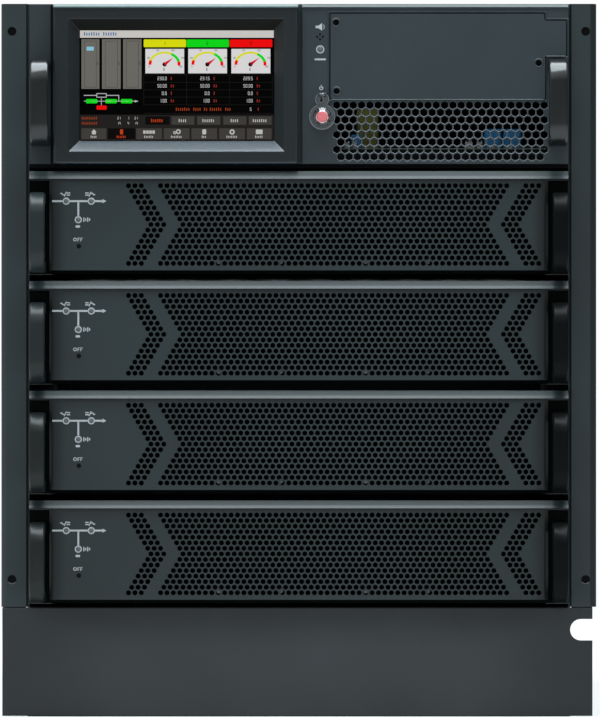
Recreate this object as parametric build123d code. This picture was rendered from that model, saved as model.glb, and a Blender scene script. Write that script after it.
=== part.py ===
from build123d import *
import math
import os

# A rack-mounting modular UPS cabinet, thirteen rack units tall. Four power modules slide out of
# two-unit bays, a three-unit bypass and display unit sits over them and a plain two-unit panel
# closes the wiring space below.
# Millimetres. +X is to the right seen from the front, +Y to the back, +Z up. The origin is on the
# floor, under the middle of the overall box.

# Rack grid and overall size
RACK_UNIT_HEIGHT = 44.45
RACK_WIDTH = 482.6
RACK_HOLE_EDGE = 8.75
RACK_HOLE_RADIUS = 3.6
LOWER_UNITS = 2
MODULE_UNITS = 2
MODULE_COUNT = 4
TOP_UNITS = 3
FRONT_REACH = 40.0
WIRING_SPACE = 107.8
SHEET = 1.5
PANEL_SHEET = 2.0
PANEL_GAP = 0.5
HEM = 14.0

# Rack ears
EAR_WIDTH = 21.3
EAR_BEND = 5.0
EAR_RETURN = 16.0
EAR_FOOT = 40.0

# Lower front panel
LOWER_PANEL_LEFT_GAP = 0.9
LOWER_PANEL_RIGHT_GAP = 3.2
NOTCH_DROP = 18.5
NOTCH_RADIUS = 8.7
PANEL_EDGE_ROUND = 1.0

# Rear wall
VENT_WIDTH = 18.0
VENT_MARGIN = 38.9
VENT_PITCH = 40.0
VENT_SIDE_MARGIN = 36.0
CABLE_SLOT_MARGIN = 70.0
CABLE_SLOT_HEIGHT = 34.0
CABLE_SLOT_ROUND = 6.0

# Guide rails
RAIL_LEDGE = 18.5
RAIL_TOP = 4.0
RAIL_WALL = 18.0
RAIL_OVERRUN = 10.0

# Power module
MODULE_GAP = 0.3
MODULE_DEPTH = 600.0
MODULE_SIDE_GAP = 5.0
MODULE_TOP_GAP = 4.9
FAN_CHAMBER_DEPTH = 60.0
FAN_CHAMBER_WALL = 1.5
MODULE_VENT_DEPTH = 6.0
MODULE_VENT_HEIGHT = 52.0
MODULE_VENT_MARGIN = 27.0
MODULE_VENT_BAR = 20.0

# Module front panel
FRONT_SIDE_GAP = 1.8
FRONT_BOTTOM = 3.1
FRONT_TOP_GAP = 2.5
POCKET_WIDTH = 16.2
FACE_BOTTOM = 6.1
FACE_REACH = 8.5
FRONT_BASE = 3.0
FRONT_RIM = 1.5
FRONT_WALL = 2.0
FRONT_CORNER = 1.0
VISOR_REACH = 11.0
VISOR_HEIGHT = 6.2
VISOR_LIP = (2.4, 2.0)
VISOR_SET_BACK = 4.4
VISOR_SHEET = 1.5
FACE_END_BEVEL = (3.5, 2.0)

# Perforated field of the module front
MESH_PITCH = 5.19
MESH_MARGIN = 2.6
MESH_RIM = 2.5
MESH_END = 6.4
DIAGRAM_SPACE = 62.8
CHEVRON_HOLES = 3
CHEVRON_SKIP = 2
MESH_SHEET = 1.2

# Fans behind the perforated field
FAN_DEPTH = 25.0
FAN_FRAME = 1.5
FAN_HUB = 26.0
FAN_BORE_SIDES = 10
FAN_HUB_SIDES = 6
FAN_BLADES = 4
FAN_BLADE_CHORD = 20.0
FAN_BLADE_SHEET = 1.6
FAN_BLADE_PITCH = 38.0
FAN_BLADE_GAP = 1.0
FAN_STRUT = 3.5
FAN_CORNER = 4.0
FAN_BOTTOM = 8.0
FAN_TOP_GAP = 20.9
FAN_OFFSETS = (-68.0, 51.0)

# Handles
HANDLE_GRIP = 9.0
HANDLE_LEG = 9.0
HANDLE_BEND = 18.0
HANDLE_BEND_STEPS = 4
HANDLE_CHAMFER = 1.2
MODULE_HANDLE_WIDTH = 12.6
MODULE_HANDLE_INSET = 7.0
MODULE_HANDLE_BOTTOM = 4.0
MODULE_HANDLE_DROP = 11.2
UNIT_HANDLE_WIDTH = 15.0
UNIT_HANDLE_INSET = 9.1
UNIT_HANDLE_BOTTOM = 17.2
UNIT_HANDLE_TOP = 87.3

# Bypass and display unit, heights from the top of the module bays
UNIT_BOTTOM = 3.4
UNIT_TOP_GAP = 0.6
BEZEL_INSET = 19.5
BEZEL_RIGHT = -0.4
BEZEL_REACH = 12.0
BEZEL_ROUND = 2.4
RECESS_DEPTH = 9.0
RECESS_SLOPE = 9.2
SCREEN_SIDE = 11.6
SCREEN_SHIFT = 0.9
SCREEN_BELOW = 22.4
SCREEN_ABOVE = 21.75
SCREEN_LIP = 4.0
SCREEN_DEPTH = 8.0
SCREEN_GAP = 0.5
PLATE_LIP = 8.0
BYPASS_LEFT = 2.6
BYPASS_REACH = 3.0
BYPASS_BEND = 2.0
COVER_LEFT_EDGE = 23.1
COVER_RIGHT_EDGE = 2.0
COVER_BOTTOM = 56.2
COVER_TOP_EDGE = 8.25
COVER_SHEET = 1.5
COVER_ROUND = 2.0
COVER_HANDLE_NOTCH = (16.9, 35.2)
COVER_CORNER_NOTCH = (17.7, 5.6)

# Honeycomb grille of the bypass panel
HEX_PITCH = 6.73
HEX_ROW_PITCH = 6.0
HEX_FLATS = 5.6
HEX_ROWS = 8
HEX_LEFT_EDGE = 28.1
HEX_RIGHT_EDGE = 15.5
HEX_BOTTOM = 9.0

# Emergency power-off button under its flip cover
EPO_EDGE = 16.3
EPO_HEIGHT = 41.5
EPO_BASE_INSET = 0.6
EPO_BASE_SHEET = 1.0
EPO_BUTTON_RADIUS = 4.8
EPO_BUTTON_FRONT = 5.5
EPO_BUTTON_BACK = 8.0
EPO_BUTTON_BEVEL = 1.2
EPO_BUTTON_GAP = 0.5
EPO_FLANGE_RADIUS = 10.5
EPO_FLANGE_SHEET = 1.2
EPO_LOBE_RADIUS = 5.6
EPO_LOBE_OVERLAP = 1.9
EPO_CAP_RADIUS = 7.6
EPO_CAP_DEPTH = 10.5
EPO_CAP_WALL = 1.0
EPO_CAP_BEVEL = 2.4
EPO_COVER_GAP = 0.4
EPO_PIN_RADIUS = 0.7
EPO_PIN_GAP = 0.15
EPO_KNUCKLE_RADIUS = 1.6
EPO_KNUCKLE_WIDTH = 3.6
EPO_LUG_WIDTH = 1.2
EPO_SIDE_GAP = 0.3
EPO_SIDES = 16
EPO_PIN_SIDES = 10

# Circuit board seen through the honeycomb
BOARD_LEFT_EDGE = 29.4
BOARD_RIGHT_EDGE = 16.5
BOARD_DEPTH = 130.0
BOARD_SETBACK = 14.0
BOARD_HEIGHT = 13.2
BOARD_SHEET = 1.6
STANDOFF_RADIUS = 3.0
STANDOFF_INSET = 8.0
BLUE_CAPACITORS = ((-1, 14.8, 9.0, 9.6), (1, 44.1, 13.8, 14.4), (1, 28.3, 14.6, 14.4))
BLUE_CAPACITOR_DEPTH = 20.0
BLUE_CAPACITOR_SETBACK = 6.0
YELLOW_CAPACITOR_PLACE = (-1, 24.0)
YELLOW_CAPACITOR_SIZE = (18.0, 32.0, 30.0)
YELLOW_CAPACITOR_SETBACK = 40.0
CAPACITOR_BEVEL = 1.5

# Heights worked out from the sizes above
LOWER_TOP = LOWER_UNITS * RACK_UNIT_HEIGHT
BAY_HEIGHT = MODULE_UNITS * RACK_UNIT_HEIGHT
BAYS_TOP = LOWER_TOP + MODULE_COUNT * BAY_HEIGHT
HEIGHT = BAYS_TOP + TOP_UNITS * RACK_UNIT_HEIGHT
BAY_FLOORS = [BAYS_TOP - (index + 1) * BAY_HEIGHT for index in range(MODULE_COUNT)]
SHELF_TOP = BAYS_TOP + SHEET
UNIT_LOW = BAYS_TOP + UNIT_BOTTOM
UNIT_HIGH = HEIGHT - UNIT_TOP_GAP
SCREEN_LOW = BAYS_TOP + SCREEN_BELOW
SCREEN_HIGH = HEIGHT - SCREEN_ABOVE
COVER_LOW = BAYS_TOP + COVER_BOTTOM
COVER_HIGH = HEIGHT - COVER_TOP_EDGE
EPO_Z = BAYS_TOP + EPO_HEIGHT
MODULE_BOTTOM = RAIL_TOP + MODULE_GAP
MODULE_TOP = BAY_HEIGHT - MODULE_TOP_GAP
FRONT_TOP = BAY_HEIGHT - FRONT_TOP_GAP
FACE_TOP = FRONT_TOP - VISOR_HEIGHT
MODULE_HANDLE_TOP = FACE_TOP - MODULE_HANDLE_DROP
FAN_SIZE = BAY_HEIGHT - FAN_BOTTOM - FAN_TOP_GAP
FAN_BORE = FAN_SIZE - 2 * FAN_FRAME

# Widths worked out from the sizes above
HALF_RACK = RACK_WIDTH / 2
HALF_CHASSIS = HALF_RACK - EAR_WIDTH
INNER_X = HALF_CHASSIS - SHEET
MODULE_HALF = INNER_X - SHEET - MODULE_SIDE_GAP
MODULE_VENT_WIDTH = (2 * (MODULE_HALF - MODULE_VENT_MARGIN - MODULE_VENT_BAR)) / 3
FRONT_HALF = HALF_CHASSIS - FRONT_SIDE_GAP
FACE_HALF = FRONT_HALF - POCKET_WIDTH
BEZEL_LEFT = BEZEL_INSET - INNER_X
SCREEN_INSET = SCREEN_SIDE + RECESS_SLOPE
SCREEN_LEFT = BEZEL_LEFT + SCREEN_INSET + SCREEN_SHIFT
SCREEN_RIGHT = BEZEL_RIGHT - SCREEN_INSET + SCREEN_SHIFT
BYPASS_RIGHT = INNER_X
COVER_LEFT = BYPASS_LEFT + COVER_LEFT_EDGE
COVER_RIGHT = BYPASS_RIGHT - COVER_RIGHT_EDGE
EPO_CENTRE = BYPASS_LEFT + EPO_EDGE
BOARD_LEFT = BYPASS_LEFT + BOARD_LEFT_EDGE
BOARD_RIGHT = BYPASS_RIGHT - BOARD_RIGHT_EDGE

# Depths worked out from the sizes above
CHASSIS_DEPTH = PANEL_SHEET - MODULE_GAP + MODULE_DEPTH + WIRING_SPACE + SHEET
RACK_Y = (FRONT_REACH - CHASSIS_DEPTH) / 2
FRAME_Y = RACK_Y + PANEL_SHEET
REAR_Y = RACK_Y + CHASSIS_DEPTH
HANDLE_Y = RACK_Y - FRONT_REACH
FRONT_BACK_Y = FRAME_Y - MODULE_GAP
POCKET_Y = FRONT_BACK_Y - FRONT_BASE
FACE_Y = RACK_Y - FACE_REACH
VISOR_Y = RACK_Y - VISOR_REACH
BEZEL_Y = RACK_Y - BEZEL_REACH
SCREEN_Y = BEZEL_Y + RECESS_DEPTH
BYPASS_Y = RACK_Y - BYPASS_REACH

# Perforated field: rows of holes, and holes from its centre to each end of its top row
MESH_ROW = MESH_PITCH * math.sin(math.radians(60))
MESH_HEIGHT = FACE_TOP - FACE_BOTTOM - 2 * (MESH_MARGIN + MESH_RIM)
MESH_ROWS = int(MESH_HEIGHT / MESH_ROW) + 1
MESH_LENGTH = 2 * FACE_HALF - DIAGRAM_SPACE - MESH_END
MESH_CENTRE = DIAGRAM_SPACE - FACE_HALF + MESH_LENGTH / 2
CHEVRON_FAR = int(MESH_LENGTH / 2 / MESH_PITCH)
CHEVRON_NEAR = CHEVRON_FAR - CHEVRON_HOLES + 1
FIELD_HOLES = CHEVRON_NEAR - CHEVRON_SKIP - 1


def slab(xs, ys, zs):
    """A box between two values on each axis."""
    low, high = zip(xs, ys, zs)
    size = [b - a for a, b in zip(low, high)]
    centre = [(a + b) / 2 for a, b in zip(low, high)]
    return Pos(*centre) * Box(*size)


def polygon(*points):
    return Polygon(*points, align=None)


def span(first, second):
    """A rectangle between two ranges of a sketch plane."""
    return polygon(
        (first[0], second[0]), (first[1], second[0]), (first[1], second[1]), (first[0], second[1])
    )


def plate(outline, y_back, thickness):
    """An X-Z outline made into a plate whose front is towards -Y."""
    return Pos(0, y_back, 0) * extrude(Plane.XZ * outline, amount=thickness, dir=(0, -1, 0))


def run_y(section, ys):
    """An X-Z section drawn along Y."""
    return plate(section, ys[1], ys[1] - ys[0])


def run_x(section, xs):
    """A Y-Z section drawn along X."""
    return Pos(xs[0], 0, 0) * extrude(Plane.YZ * section, amount=xs[1] - xs[0], dir=(1, 0, 0))


def run_z(section, zs):
    """An X-Y section drawn upwards."""
    return Pos(0, 0, zs[0]) * extrude(section, amount=zs[1] - zs[0], dir=(0, 0, 1))


def rod_y(x, z, radius, ys):
    return plate(Pos(x, z) * Circle(radius), ys[1], ys[1] - ys[0])


def mirrored(shape):
    return mirror(shape, about=Plane.YZ)


# Cabinet shell

def side_panel():
    """Right side wall with a return folded in at the back."""
    back = REAR_Y - SHEET
    section = span((INNER_X, HALF_CHASSIS), (FRAME_Y, back))
    section += span((HALF_CHASSIS - HEM, HALF_CHASSIS), (back - SHEET, back))
    return run_z(section, (SHEET, HEIGHT - SHEET))


def base_tray():
    """Floor with its front edge turned up."""
    section = span((FRAME_Y, REAR_Y - SHEET), (0, SHEET))
    section += span((FRAME_Y, FRAME_Y + SHEET), (0, HEM))
    wide = run_x(section, (-INNER_X, INNER_X))
    return wide + slab((-HALF_CHASSIS, HALF_CHASSIS), (FRAME_Y, REAR_Y - SHEET), (0, SHEET))


def top_cover():
    """Roof with its front edge turned down."""
    section = span((FRAME_Y, REAR_Y - SHEET), (HEIGHT - SHEET, HEIGHT))
    section += span((FRAME_Y, FRAME_Y + SHEET), (HEIGHT - HEM, HEIGHT))
    wide = run_x(section, (-INNER_X, INNER_X))
    roof = slab((-HALF_CHASSIS, HALF_CHASSIS), (FRAME_Y, REAR_Y - SHEET), (HEIGHT - SHEET, HEIGHT))
    return wide + roof


def shelf(top, lip_end):
    """A shelf between the side walls, its front edge turned towards lip_end."""
    section = span((FRAME_Y, REAR_Y - 2 * SHEET), (top - SHEET, top))
    section += span((FRAME_Y, FRAME_Y + SHEET), sorted((top - SHEET / 2, lip_end)))
    return run_x(section, (-INNER_X, INNER_X))


def vent_row(middle):
    """Upright slots side by side across the rear wall, centred on a height."""
    room = 2 * (HALF_CHASSIS - VENT_SIDE_MARGIN)
    count = int(room / VENT_PITCH) + 1
    start = -(count - 1) / 2 * VENT_PITCH
    places = [start + index * VENT_PITCH for index in range(count)]
    half_height = (BAY_HEIGHT - VENT_MARGIN) / 2
    zs = (middle - half_height, middle + half_height)
    return [span((x - VENT_WIDTH / 2, x + VENT_WIDTH / 2), zs).wire() for x in places]


def rear_panel():
    """Rear wall with a row of slots behind each bay, closed behind the upper unit."""
    outer = span((-HALF_CHASSIS, HALF_CHASSIS), (LOWER_TOP + PANEL_GAP, HEIGHT))
    slots = [wire for floor in BAY_FLOORS for wire in vent_row(floor + BAY_HEIGHT / 2)]
    return plate(Face(outer.wire(), slots), REAR_Y, SHEET)


def terminal_cover():
    """Cover over the terminals at the back, notched below for the cables."""
    outer = span((-HALF_CHASSIS, HALF_CHASSIS), (PANEL_GAP, LOWER_TOP))
    half = HALF_CHASSIS - CABLE_SLOT_MARGIN
    notch = span((-half, half), (-CABLE_SLOT_HEIGHT, CABLE_SLOT_HEIGHT))
    notch = fillet(notch.vertices().group_by(Axis.Y)[-1], CABLE_SLOT_ROUND)
    return plate(outer - notch, REAR_Y, SHEET)


def rack_ear():
    """Right ear: a channel folded from sheet with a wide bend at its outer edge."""
    inner, outer = HALF_CHASSIS, HALF_RACK
    skin = polygon(
        (inner, RACK_Y), (outer, RACK_Y), (outer, RACK_Y + EAR_RETURN),
        (inner + PANEL_SHEET, RACK_Y + EAR_RETURN), (inner + PANEL_SHEET, RACK_Y + EAR_FOOT),
        (inner, RACK_Y + EAR_FOOT),
    )
    hollow = span((inner + PANEL_SHEET, outer - PANEL_SHEET), (FRAME_Y, RACK_Y + EAR_FOOT))
    outer_corner = skin.vertices().sort_by(Axis.X)[-2:].sort_by(Axis.Y)[0]
    skin = fillet(outer_corner, EAR_BEND)
    hollow_corner = hollow.vertices().sort_by(Axis.X)[-2:].sort_by(Axis.Y)[0]
    hollow = fillet(hollow_corner, EAR_BEND - PANEL_SHEET)
    ear = run_z(skin - hollow, (LOWER_TOP, HEIGHT))
    for z in (LOWER_TOP + RACK_UNIT_HEIGHT / 2, HEIGHT - RACK_UNIT_HEIGHT / 2):
        ear -= rod_y(outer - RACK_HOLE_EDGE, z, RACK_HOLE_RADIUS, (RACK_Y - SHEET, FRAME_Y + SHEET))
    return ear


def lower_front_panel():
    """Plain panel with a round-ended notch in its right edge."""
    xs = (LOWER_PANEL_LEFT_GAP - HALF_RACK, HALF_RACK - LOWER_PANEL_RIGHT_GAP)
    outline = span(xs, (PANEL_GAP, LOWER_TOP - PANEL_GAP))
    notch_x = HALF_CHASSIS + NOTCH_RADIUS
    notch_z = LOWER_TOP - NOTCH_DROP
    notch = Pos(notch_x, notch_z) * Circle(NOTCH_RADIUS)
    notch += span((notch_x, HALF_RACK), (notch_z - NOTCH_RADIUS, notch_z + NOTCH_RADIUS))
    panel = plate(outline - notch, FRAME_Y, PANEL_SHEET)
    front = panel.faces().sort_by(Axis.Y)[0]
    long_edges = front.edges().filter_by(Axis.X).sort_by(Axis.Z)
    return fillet([long_edges[0], long_edges[-1]], PANEL_EDGE_ROUND)


def guide_rails():
    """Right-hand rails, one under each module: a ledge and a wall against the side panel."""
    rails = []
    for floor in BAY_FLOORS:
        top = floor + RAIL_TOP
        section = span((INNER_X - RAIL_LEDGE, INNER_X), (top - SHEET, top))
        section += span((INNER_X - SHEET, INNER_X), (top - SHEET, top + RAIL_WALL))
        rails.append(run_y(section, (FRAME_Y, FRAME_Y + MODULE_DEPTH + RAIL_OVERRUN)))
    return rails


# Handles

def bow_outline(y_front, y_seat, zs, bend):
    """Y-Z outline of a bow that opens to the back, its two bends made of short flats."""
    turns = [math.radians(90 * step / HANDLE_BEND_STEPS) for step in range(HANDLE_BEND_STEPS + 1)]
    low, high = zs[0] + bend, zs[1] - bend
    centre = y_front + bend
    upper = [(centre - bend * math.sin(turn), high + bend * math.cos(turn)) for turn in turns]
    lower = [(centre - bend * math.cos(turn), low - bend * math.sin(turn)) for turn in turns]
    return polygon((y_seat, zs[1]), *upper, *lower, (y_seat, zs[0]))


def handle(centre, width, zs, y_seat):
    """A bow handle standing on a seat, with its outer edges bevelled."""
    bow = bow_outline(HANDLE_Y, y_seat, zs, HANDLE_BEND)
    gap_zs = (zs[0] + HANDLE_LEG, zs[1] - HANDLE_LEG)
    gap = bow_outline(HANDLE_Y + HANDLE_GRIP, y_seat, gap_zs, HANDLE_BEND - HANDLE_GRIP)
    xs = (centre - width / 2, centre + width / 2)
    solid = run_x(bow, xs)
    outer_edges = [
        edge for edge in solid.edges().filter_by(Axis.X, reverse=True)
        if edge.center().Y < y_seat - HANDLE_CHAMFER
    ]
    return chamfer(outer_edges, HANDLE_CHAMFER) - run_x(gap, xs)


def module_handles(floor):
    zs = (floor + MODULE_HANDLE_BOTTOM, floor + MODULE_HANDLE_TOP)
    right = handle(FRONT_HALF - MODULE_HANDLE_INSET, MODULE_HANDLE_WIDTH, zs, POCKET_Y)
    return [right, mirrored(right)]


# Power module

def mesh_edge(holes, side, z):
    """X of a slanted window edge, so many holes out from the field's centre at its top row."""
    half_height = (MESH_ROWS - 1) / 2 * MESH_ROW
    lean = (half_height - abs(z)) / math.tan(math.radians(60))
    return MESH_CENTRE + side * (holes * MESH_PITCH - lean)


def mesh_window(left, right, middle):
    """A window whose slanted ends bend at its middle: left and right are (holes, side)."""
    half = (MESH_ROWS - 1) / 2 * MESH_ROW + MESH_MARGIN
    heights = (half, 0, -half)
    left_edge = [(mesh_edge(*left, z) - MESH_MARGIN, middle + z) for z in heights]
    right_edge = [(mesh_edge(*right, z) + MESH_MARGIN, middle + z) for z in heights]
    return polygon(*left_edge, *reversed(right_edge))


def mesh_windows(floor):
    """The main field and a chevron of holes at each end of it."""
    middle = floor + (FACE_BOTTOM + FACE_TOP) / 2
    return [
        mesh_window((FIELD_HOLES, -1), (FIELD_HOLES, 1), middle),
        mesh_window((CHEVRON_FAR, -1), (CHEVRON_NEAR, -1), middle),
        mesh_window((CHEVRON_NEAR, 1), (CHEVRON_FAR, 1), middle),
    ]


def module_front_panel(floor):
    """Moulded front: a face, a flared visor over it and an open pocket at each bevelled end."""
    low, high = floor + FRONT_BOTTOM, floor + FRONT_TOP
    rim = POCKET_Y - FRONT_RIM
    visor_low = floor + FACE_TOP
    lip_rise, lip_set_back = VISOR_LIP
    section = polygon(
        (FRONT_BACK_Y, low), (rim, low), (FACE_Y, floor + FACE_BOTTOM),
        (FACE_Y, visor_low), (VISOR_Y, visor_low),
        (VISOR_Y + lip_set_back, visor_low + lip_rise), (VISOR_Y + VISOR_SET_BACK, high),
        (FRONT_BACK_Y, high),
    )
    front = run_x(section, (-FRONT_HALF, FRONT_HALF))
    top_corners = [edge for edge in front.edges().filter_by(Axis.Y) if edge.center().Z > visor_low]
    front = fillet(top_corners, FRONT_CORNER)
    bevel_width, bevel_depth = FACE_END_BEVEL
    pocket_section = polygon(
        (FACE_HALF - bevel_width, FACE_Y), (FACE_HALF - bevel_width, VISOR_Y), (FRONT_HALF, VISOR_Y),
        (FRONT_HALF, POCKET_Y), (FACE_HALF, POCKET_Y), (FACE_HALF, FACE_Y + bevel_depth),
    )
    pocket = run_z(pocket_section, (low, visor_low - VISOR_SHEET))
    cavity = slab(
        (FRONT_WALL - FACE_HALF, FACE_HALF - FRONT_WALL),
        (FACE_Y + FRONT_WALL, FRONT_BACK_Y),
        (floor + FACE_BOTTOM + FRONT_WALL / 2, floor + FACE_TOP - FRONT_WALL / 2),
    )
    windows = [plate(window, FACE_Y + FRONT_WALL, FRONT_WALL) for window in mesh_windows(floor)]
    return front - [pocket, mirrored(pocket), cavity, *windows]


def module_grille(floor):
    """Sheet seated on the back of the face behind its windows."""
    half = FACE_HALF - FRONT_WALL - PANEL_GAP
    edge = FRONT_WALL / 2 + PANEL_GAP
    back = FACE_Y + FRONT_WALL + MESH_SHEET
    outline = span((-half, half), (floor + FACE_BOTTOM + edge, floor + FACE_TOP - edge))
    return plate(outline, back, MESH_SHEET)


def module_housing(floor):
    """Closed housing with an open fan chamber at its front and vents sunk in its back."""
    half = MODULE_HALF
    low, high = floor + MODULE_BOTTOM, floor + MODULE_TOP
    back = FRONT_BACK_Y + MODULE_DEPTH
    body = slab((-half, half), (FRONT_BACK_Y, back), (low, high))
    chamber = slab(
        (FAN_CHAMBER_WALL - half, half - FAN_CHAMBER_WALL),
        (FRONT_BACK_Y, FRONT_BACK_Y + FAN_CHAMBER_DEPTH),
        (low + FAN_CHAMBER_WALL, high - FAN_CHAMBER_WALL),
    )
    middle = (low + high) / 2
    vent_pitch = MODULE_VENT_WIDTH + MODULE_VENT_BAR
    vents = [
        slab(
            (x - MODULE_VENT_WIDTH / 2, x + MODULE_VENT_WIDTH / 2),
            (back - MODULE_VENT_DEPTH, back),
            (middle - MODULE_VENT_HEIGHT / 2, middle + MODULE_VENT_HEIGHT / 2),
        )
        for x in (-vent_pitch, 0, vent_pitch)
    ]
    return body - [chamber, *vents]


def fan():
    """An axial fan about the origin, its front on the X-Z plane and its back towards +Y."""
    frame = chamfer(Rectangle(FAN_SIZE, FAN_SIZE).vertices(), FAN_CORNER)
    frame -= RegularPolygon(FAN_BORE / 2, FAN_BORE_SIDES)
    body = plate(frame, FAN_DEPTH, FAN_DEPTH)
    hub_depth = FAN_DEPTH - FAN_STRUT
    body += plate(RegularPolygon(FAN_HUB / 2, FAN_HUB_SIDES), FAN_DEPTH, FAN_DEPTH - FAN_BLADE_GAP)
    strut_length = (FAN_BORE + FAN_SIZE) / 2
    strut = Pos(0, FAN_DEPTH - FAN_STRUT / 2, 0) * Box(strut_length, FAN_STRUT, FAN_STRUT)
    body += [strut, Rot(0, 90, 0) * strut]
    blade_in = FAN_HUB / 2 - FAN_BLADE_GAP
    blade_out = FAN_BORE / 2 - FAN_BLADE_GAP
    blade = Box(blade_out - blade_in, FAN_BLADE_SHEET, FAN_BLADE_CHORD)
    tilted = Pos((blade_in + blade_out) / 2, hub_depth / 2, 0) * Rot(FAN_BLADE_PITCH, 0, 0) * blade
    for index in range(FAN_BLADES):
        body += Rot(0, index * 360 / FAN_BLADES, 0) * tilted
    return body


def module_fans(floor, one):
    """Two fans screwed to the back of the grille sheet."""
    front = FACE_Y + FRONT_WALL + MESH_SHEET
    middle = floor + FAN_BOTTOM + FAN_SIZE / 2
    return [Pos(MESH_CENTRE + offset, front, middle) * one for offset in FAN_OFFSETS]


# Bypass and display unit

def screen_outline(grow):
    """Outline of the visible screen, grown outwards by a margin."""
    xs = (SCREEN_LEFT - grow, SCREEN_RIGHT + grow)
    return span(xs, (SCREEN_LOW - grow, SCREEN_HIGH + grow))


def unit_front_plate():
    """Sheet that carries the bezel, the bypass panel and the left handle."""
    outer = span((-INNER_X, INNER_X), (UNIT_LOW, UNIT_HIGH))
    window_xs = (BYPASS_LEFT + PLATE_LIP, BYPASS_RIGHT - PLATE_LIP)
    bypass_window = span(window_xs, (UNIT_LOW + PLATE_LIP / 2, UNIT_HIGH - PLATE_LIP))
    outline = outer - screen_outline(SCREEN_LIP + SCREEN_GAP) - bypass_window
    return plate(outline, FRAME_Y, PANEL_SHEET)


def display_bezel():
    """Moulded frame with sloped sides round the screen and a rebate for it at the back."""
    outline = span((BEZEL_LEFT, BEZEL_RIGHT), (UNIT_LOW, UNIT_HIGH))
    frame = plate(outline, RACK_Y, BEZEL_REACH)
    front = frame.faces().sort_by(Axis.Y)[0]
    frame = fillet(front.edges(), BEZEL_ROUND)
    mouth = Pos(0, BEZEL_Y, 0) * (Plane.XZ * screen_outline(RECESS_SLOPE))
    throat = Pos(0, SCREEN_Y, 0) * (Plane.XZ * screen_outline(0))
    slopes = loft([mouth.face(), throat.face()])
    rebate = plate(screen_outline(SCREEN_LIP + SCREEN_GAP), RACK_Y, RACK_Y - SCREEN_Y)
    return frame - slopes - rebate


def display_screen():
    """Flat display panel seated in the rebate of the bezel."""
    return plate(screen_outline(SCREEN_LIP), SCREEN_Y + SCREEN_DEPTH, SCREEN_DEPTH)


def honeycomb():
    """Outlines of the hexagonal holes, corners up, in staggered rows."""
    corner_radius = HEX_FLATS / 2 / math.cos(math.radians(30))
    left = BYPASS_LEFT + HEX_LEFT_EDGE
    columns = int((BYPASS_RIGHT - HEX_RIGHT_EDGE - left) / HEX_PITCH) + 1
    cells = []
    for row in range(HEX_ROWS):
        shift = row % 2
        z = BAYS_TOP + HEX_BOTTOM + (HEX_ROWS - 1 - row) * HEX_ROW_PITCH
        for column in range(columns - shift):
            x = left + (column + shift / 2) * HEX_PITCH
            cells.append((Pos(x, z) * RegularPolygon(corner_radius, 6, rotation=30)).wire())
    return cells


def bypass_front_panel():
    """Shallow panel folded back at a round top edge, pierced by the honeycomb and the button hole."""
    outer = span((BYPASS_LEFT, BYPASS_RIGHT), (UNIT_LOW, UNIT_HIGH))
    inner = span((BYPASS_LEFT + SHEET, BYPASS_RIGHT - SHEET), (UNIT_LOW + SHEET, UNIT_HIGH - SHEET))
    button = epo_disc(EPO_BUTTON_RADIUS + EPO_BUTTON_GAP).wire()
    front = plate(Face(outer.wire(), [button, *honeycomb()]), BYPASS_Y + SHEET, SHEET)
    panel = front + plate(outer - inner, RACK_Y, BYPASS_REACH - SHEET)
    rim = panel.faces().sort_by(Axis.Y)[0].outer_wire().edges()
    return fillet(rim.filter_by(Axis.X).sort_by(Axis.Z)[-1], BYPASS_BEND)


def bypass_cover_plate():
    """Plain plate over the upper part, cut away for the handle and at its top right corner."""
    outline = span((COVER_LEFT, COVER_RIGHT), (COVER_LOW, COVER_HIGH))
    handle_width, handle_height = COVER_HANDLE_NOTCH
    corner_width, corner_height = COVER_CORNER_NOTCH
    outline -= span((COVER_RIGHT - handle_width, COVER_RIGHT), (COVER_LOW, COVER_LOW + handle_height))
    outline -= span((COVER_RIGHT - corner_width, COVER_RIGHT), (COVER_HIGH - corner_height, COVER_HIGH))
    outline = fillet(outline.vertices(), COVER_ROUND)
    return plate(outline, BYPASS_Y, COVER_SHEET)


def unit_handles():
    """The left handle stands on the unit's front plate and the right one on the bypass panel."""
    zs = (BAYS_TOP + UNIT_HANDLE_BOTTOM, BAYS_TOP + UNIT_HANDLE_TOP)
    centre = INNER_X - UNIT_HANDLE_INSET
    left = handle(-centre, UNIT_HANDLE_WIDTH, zs, RACK_Y)
    right = handle(centre, UNIT_HANDLE_WIDTH, zs, BYPASS_Y)
    return [left, right]


# Emergency power-off button

EPO_LOBE_Z = EPO_Z + EPO_FLANGE_RADIUS + EPO_LOBE_RADIUS - EPO_LOBE_OVERLAP
EPO_PIN_Z = EPO_LOBE_Z + EPO_LOBE_RADIUS - EPO_KNUCKLE_RADIUS
EPO_PIN_Y = BYPASS_Y - EPO_BASE_SHEET - EPO_COVER_GAP - EPO_KNUCKLE_RADIUS
EPO_LUG_INNER = EPO_KNUCKLE_WIDTH / 2 + EPO_SIDE_GAP


def epo_disc(radius):
    """Many-sided disc about the button's axis."""
    return Pos(EPO_CENTRE, EPO_Z) * RegularPolygon(radius, EPO_SIDES)


def pin_disc(radius):
    """Many-sided disc about the hinge pin's axis, in the Y-Z plane."""
    return Pos(EPO_PIN_Y, EPO_PIN_Z) * RegularPolygon(radius, EPO_PIN_SIDES)


def keyhole(radius, lobe_radius):
    """A disc and a smaller one that overlaps its upper edge."""
    return epo_disc(radius) + Pos(EPO_CENTRE, EPO_LOBE_Z) * RegularPolygon(lobe_radius, EPO_SIDES)


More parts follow.
